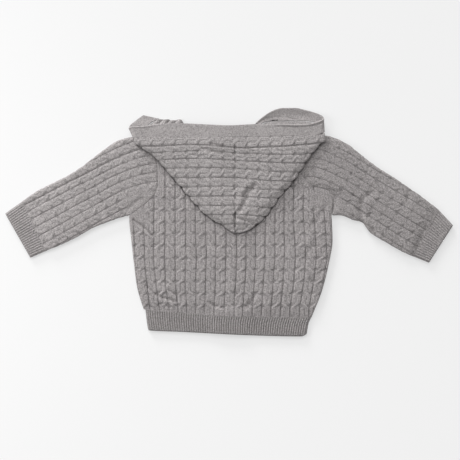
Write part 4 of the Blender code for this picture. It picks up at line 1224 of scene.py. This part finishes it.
def make_hood(side, material):
    outer, inner = hood_surface(side)
    columns = outer.shape[1]
    x, y = outer[:, :, 0], outer[:, :, 1]
    knit = hood_knit(x, y)
    upper = ramp(outer[:, :, 2], *HOOD_UPPER)
    share = np.minimum(np.linspace(0.0, 2.0, columns), 1.0)[None, :]
    rows = evenly(len(outer))[:, None]
    ends = ease(rows / HOOD_ENDS[0]) * ease((1.0 - rows) / HOOD_ENDS[1])
    steps = np.linalg.norm(np.diff(outer, axis=1, prepend=outer[:, :1]), axis=-1).cumsum(axis=1)
    from_fold = np.abs(steps - steps[:, columns // 2:columns // 2 + 1])
    by_fold = 1.0 - ramp(from_fold, *PRESSED)
    lift = upper * (CROWN * swell(share) * ends + pressed_folds(x, y, HOOD_FOLDS)
                    - FOLD_PRESS * by_fold * ends)
    outer[:, :, 2] += lift
    inner[:, :, 2] += lift
    down = np.linalg.norm(outer - outer[:1], axis=-1)
    strength = mix(1.0, evened(0.0, down, x, y)[0], upper)
    height = mix(MEAN_HEIGHT, knit[0], strength)
    # The lower layer has cables where it is hidden, and twisted ropes where it peeps out.
    peeps = ramp(y, PEEP_FROM, BORDER_EASE) * (1.0 - upper)
    twist = NO_TWIST
    if side == LEFT:
        twist = np.abs(np.cos(np.pi * (x - TWIST_SLANT * y) / TWIST_PITCH)) ** TWIST_ROUND
    # Below zero the ropes' valleys are cut deeper and darkened with painted shade
    knit = (mix(knit[0], twist - TWIST_CUT_AND_SHADE * (1.0 - twist) ** 3, peeps), *knit[1:])
    depth = mix(HOOD_UNDER_DEPTH, HOOD_DEPTH, upper)
    relief = height * (depth + CABLE_RISE * upper) - depth
    for column, half, extra in HOOD_DEEP:
        relief = relief - extra * bell(knit[3] - column, half) * upper
    seam = upper * bell(x - CENTRE_BACK, CENTRE_GROOVE) * ease((CENTRE_TOP - y) / BORDER_EASE)
    seam_depth = np.interp(y, *np.array(CENTRE_SEAM).T)
    relief = relief - seam * seam_depth
    knit = (knit[0] * (1.0 - CENTRE_SHADE * seam * seam_depth), *knit[1:])
    scallops = (1.0 - ease(from_fold / SCALLOP_EASE)) * ease((SCALLOP_TOP - y) / BORDER_EASE)
    relief = relief + SCALLOP * scallops * (swell(knit[3] - np.floor(knit[3])) - SCALLOP_MEAN)
    moved = outward_relief(outer, inner, relief)
    under = mix((knit[0] - 1.0) * INNER_RELIEF, (knit[0] - NO_TWIST) * ROPE_RELIEF, peeps)
    under = under * (1.0 - upper)
    inner = outward_relief(inner, outer, under)
    item = wall("knit_hood_" + SIDES[side], moved, inner, knit, material, 1)
    dress(item)


def make_face_band(material):
    middle, along, shares = band_surface()
    normal = normals(middle)
    if normal[len(normal) // 2, 0, 2] < 0.0:
        normal = -normal
    x, y, z = np.moveaxis(middle, -1, 0)
    places = np.broadcast_to(along[:, None], x.shape)
    rows = np.broadcast_to(shares[None, :], x.shape)    # distance in from the free edge
    from_ends = np.minimum(places, places[-1:] - places)
    thin = mix(THIN_EDGE, 1.0, ease(np.minimum(rows, from_ends) / THIN_WIDTH))
    nearing_loop = ramp(x, *LOOP_RIM) * (places > places[-1:] / 3)
    nearing_flap = ramp(-x, *FLAP_RIM) * ramp(z, UPPER_BAND, RIM_EASE)
    ridge = bell(rows - RIM_PLACE, RIM_HALF) * (nearing_loop + FLAP_RIM_RISE * nearing_flap)
    groove = RIM_GROOVE * bell(rows - RIM_GROOVE_PLACE * RIM_PLACE, RIM_HALF) * nearing_loop
    rim = RIM_RISE * ease(np.abs(normal[:, :, 2]) / RIM_FACING) * (ridge - groove)
    curled = ease((places - places[-1:] * LOOP_FROM) / LOOP_EASE)
    from_sewn = rows[:, -1:] - rows
    hole = np.exp(-((x - HOLE_PLACE) / HOLE_HALF) ** 4 - ((from_sewn - HOLE_ROW) / HOLE_ROW) ** 2)
    hole = hole * curled
    pressed = pressed_folds(x, y, LOOP_FOLDS) * curled
    outer = middle + normal * (RIB_WALL / 2 * thin + rim)[..., None]
    inner = middle - normal * (RIB_WALL / 2 * thin + pressed - HOLE_DEPTH * hole)[..., None]
    knit = plain(places, rows)
    # Painted shade in the buttonhole: its relief height drops below zero, darkest where it opens
    # most and less where stitches cross it, and its column shifts so that a crease, bumped and
    # shaded, runs in it
    stitched = HOLE_OPEN + HOLE_CROSSED * np.cos(2 * np.pi * (x - HOLE_DARK) / HOLE_STITCH)
    knit = (knit[0] - HOLE_SHADE * hole * stitched, *knit[1:3], knit[3] - HOLE_PULL * hole)
    item = wall("knit_hood_band", outer, inner, knit, material, 1, free="left top bottom")
    dress(item)


# --- Floor, light and camera ---

def make_floor():
    mesh = bpy.data.meshes.new("floor")
    half = FLOOR_HALF
    corners = [(-half, -half, 0.0), (half, -half, 0.0), (half, half, 0.0), (-half, half, 0.0)]
    mesh.from_pydata(corners, [], [(0, 1, 2, 3)])
    floor = link("floor", mesh)
    floor.location.z = -FLOOR_DROP
    look = Look("floor")
    look.feed(look.shader, {
        "Base Color": (FLOOR_ALBEDO, FLOOR_ALBEDO, FLOOR_ALBEDO, 1.0),
        "Emission Color": (1.0, 1.0, 1.0, 1.0), "Emission Strength": FLOOR_GLOW,
        "Roughness": 0.9, "Specular IOR Level": 0.1})
    mesh.materials.append(look.material)


def make_light():
    """Even white surroundings, a soft key from above the hood, a low soft fill, and a soft box on
    the left, near enough that its light falls off towards the right sleeve."""
    world = bpy.data.worlds.new("studio")
    bpy.context.scene.world = world
    world.use_nodes = True
    background = world.node_tree.nodes["Background"]
    background.inputs["Color"].default_value = (1.0, 1.0, 1.0, 1.0)
    background.inputs["Strength"].default_value = WORLD_LIGHT
    for name, strength, width, turn in SUNS:
        data = bpy.data.lights.new(name, "SUN")
        data.energy = strength
        data.angle = math.radians(width)
        link(name, data).rotation_euler = [math.radians(a) for a in turn]
    data = bpy.data.lights.new("side", "AREA")
    data.shape = "DISK"
    data.size = SOFT_BOX_SIZE
    data.energy = SOFT_BOX_POWER
    lamp = link("side", data)
    lamp.location = SOFT_BOX_PLACE
    lamp.rotation_euler = (-Vector(SOFT_BOX_PLACE)).to_track_quat("-Z", "Y").to_euler()


def make_camera():
    data = bpy.data.cameras.new("camera")
    data.sensor_width = SENSOR
    data.lens = SENSOR * (CAMERA_HEIGHT - VIEW_LEVEL) / PICTURE_WIDTH
    camera = link("camera", data)
    camera.location = Vector((*VIEW_CENTRE, CAMERA_HEIGHT)) * MM
    bpy.context.scene.camera = camera
    bpy.context.scene.view_settings.view_transform = "Standard"


def main():
    make_camera()
    make_floor()
    make_light()
    body = knit_material("cable_knit_back", (0.307, 0.287, 0.286), CABLE_STITCH)
    hood = knit_material("cable_knit_hood", (0.328, 0.308, 0.306), CABLE_STITCH)
    # The left sleeve's yarn is lighter and the right's darker: painted light and shade, lit and
    # shaded copies of one yarn
    lit_and_shaded_arm_colours = {LEFT: (0.332, 0.311, 0.309), RIGHT: (0.300, 0.281, 0.279)}
    arms = {side: knit_material(f"cable_knit_{SIDES[side]}_sleeve", lit_and_shaded_arm_colours[side], CABLE_STITCH,
                                shadow=0.7) for side in SIDES}
    # The hem rib's yarn is darker than the body's: painted shade between its ribs
    ribbing = knit_material("rib_knit_hem", (0.273, 0.256, 0.254), RIB_STITCH)
    cuffs = {side: knit_material(f"rib_knit_{SIDES[side]}_cuff", (0.322, 0.302, 0.300), RIB_STITCH)
             for side in SIDES}
    smooth = knit_material("plain_knit", (0.357, 0.335, 0.333), PLAIN_STITCH, fleck=0.8)
    make_back(body)
    make_back_rib(ribbing)
    for side in SIDES:
        make_front(side, body, ribbing)
    make_front_bands(smooth)
    for side in SIDES:
        make_sleeve(side, arms[side], cuffs[side])
        make_hood(side, hood)
    make_face_band(smooth)
    plastic = button_material()
    for name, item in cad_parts.items():
        if name.startswith("button_"):
            item.data.materials.clear()
            item.data.materials.append(plastic)


main()
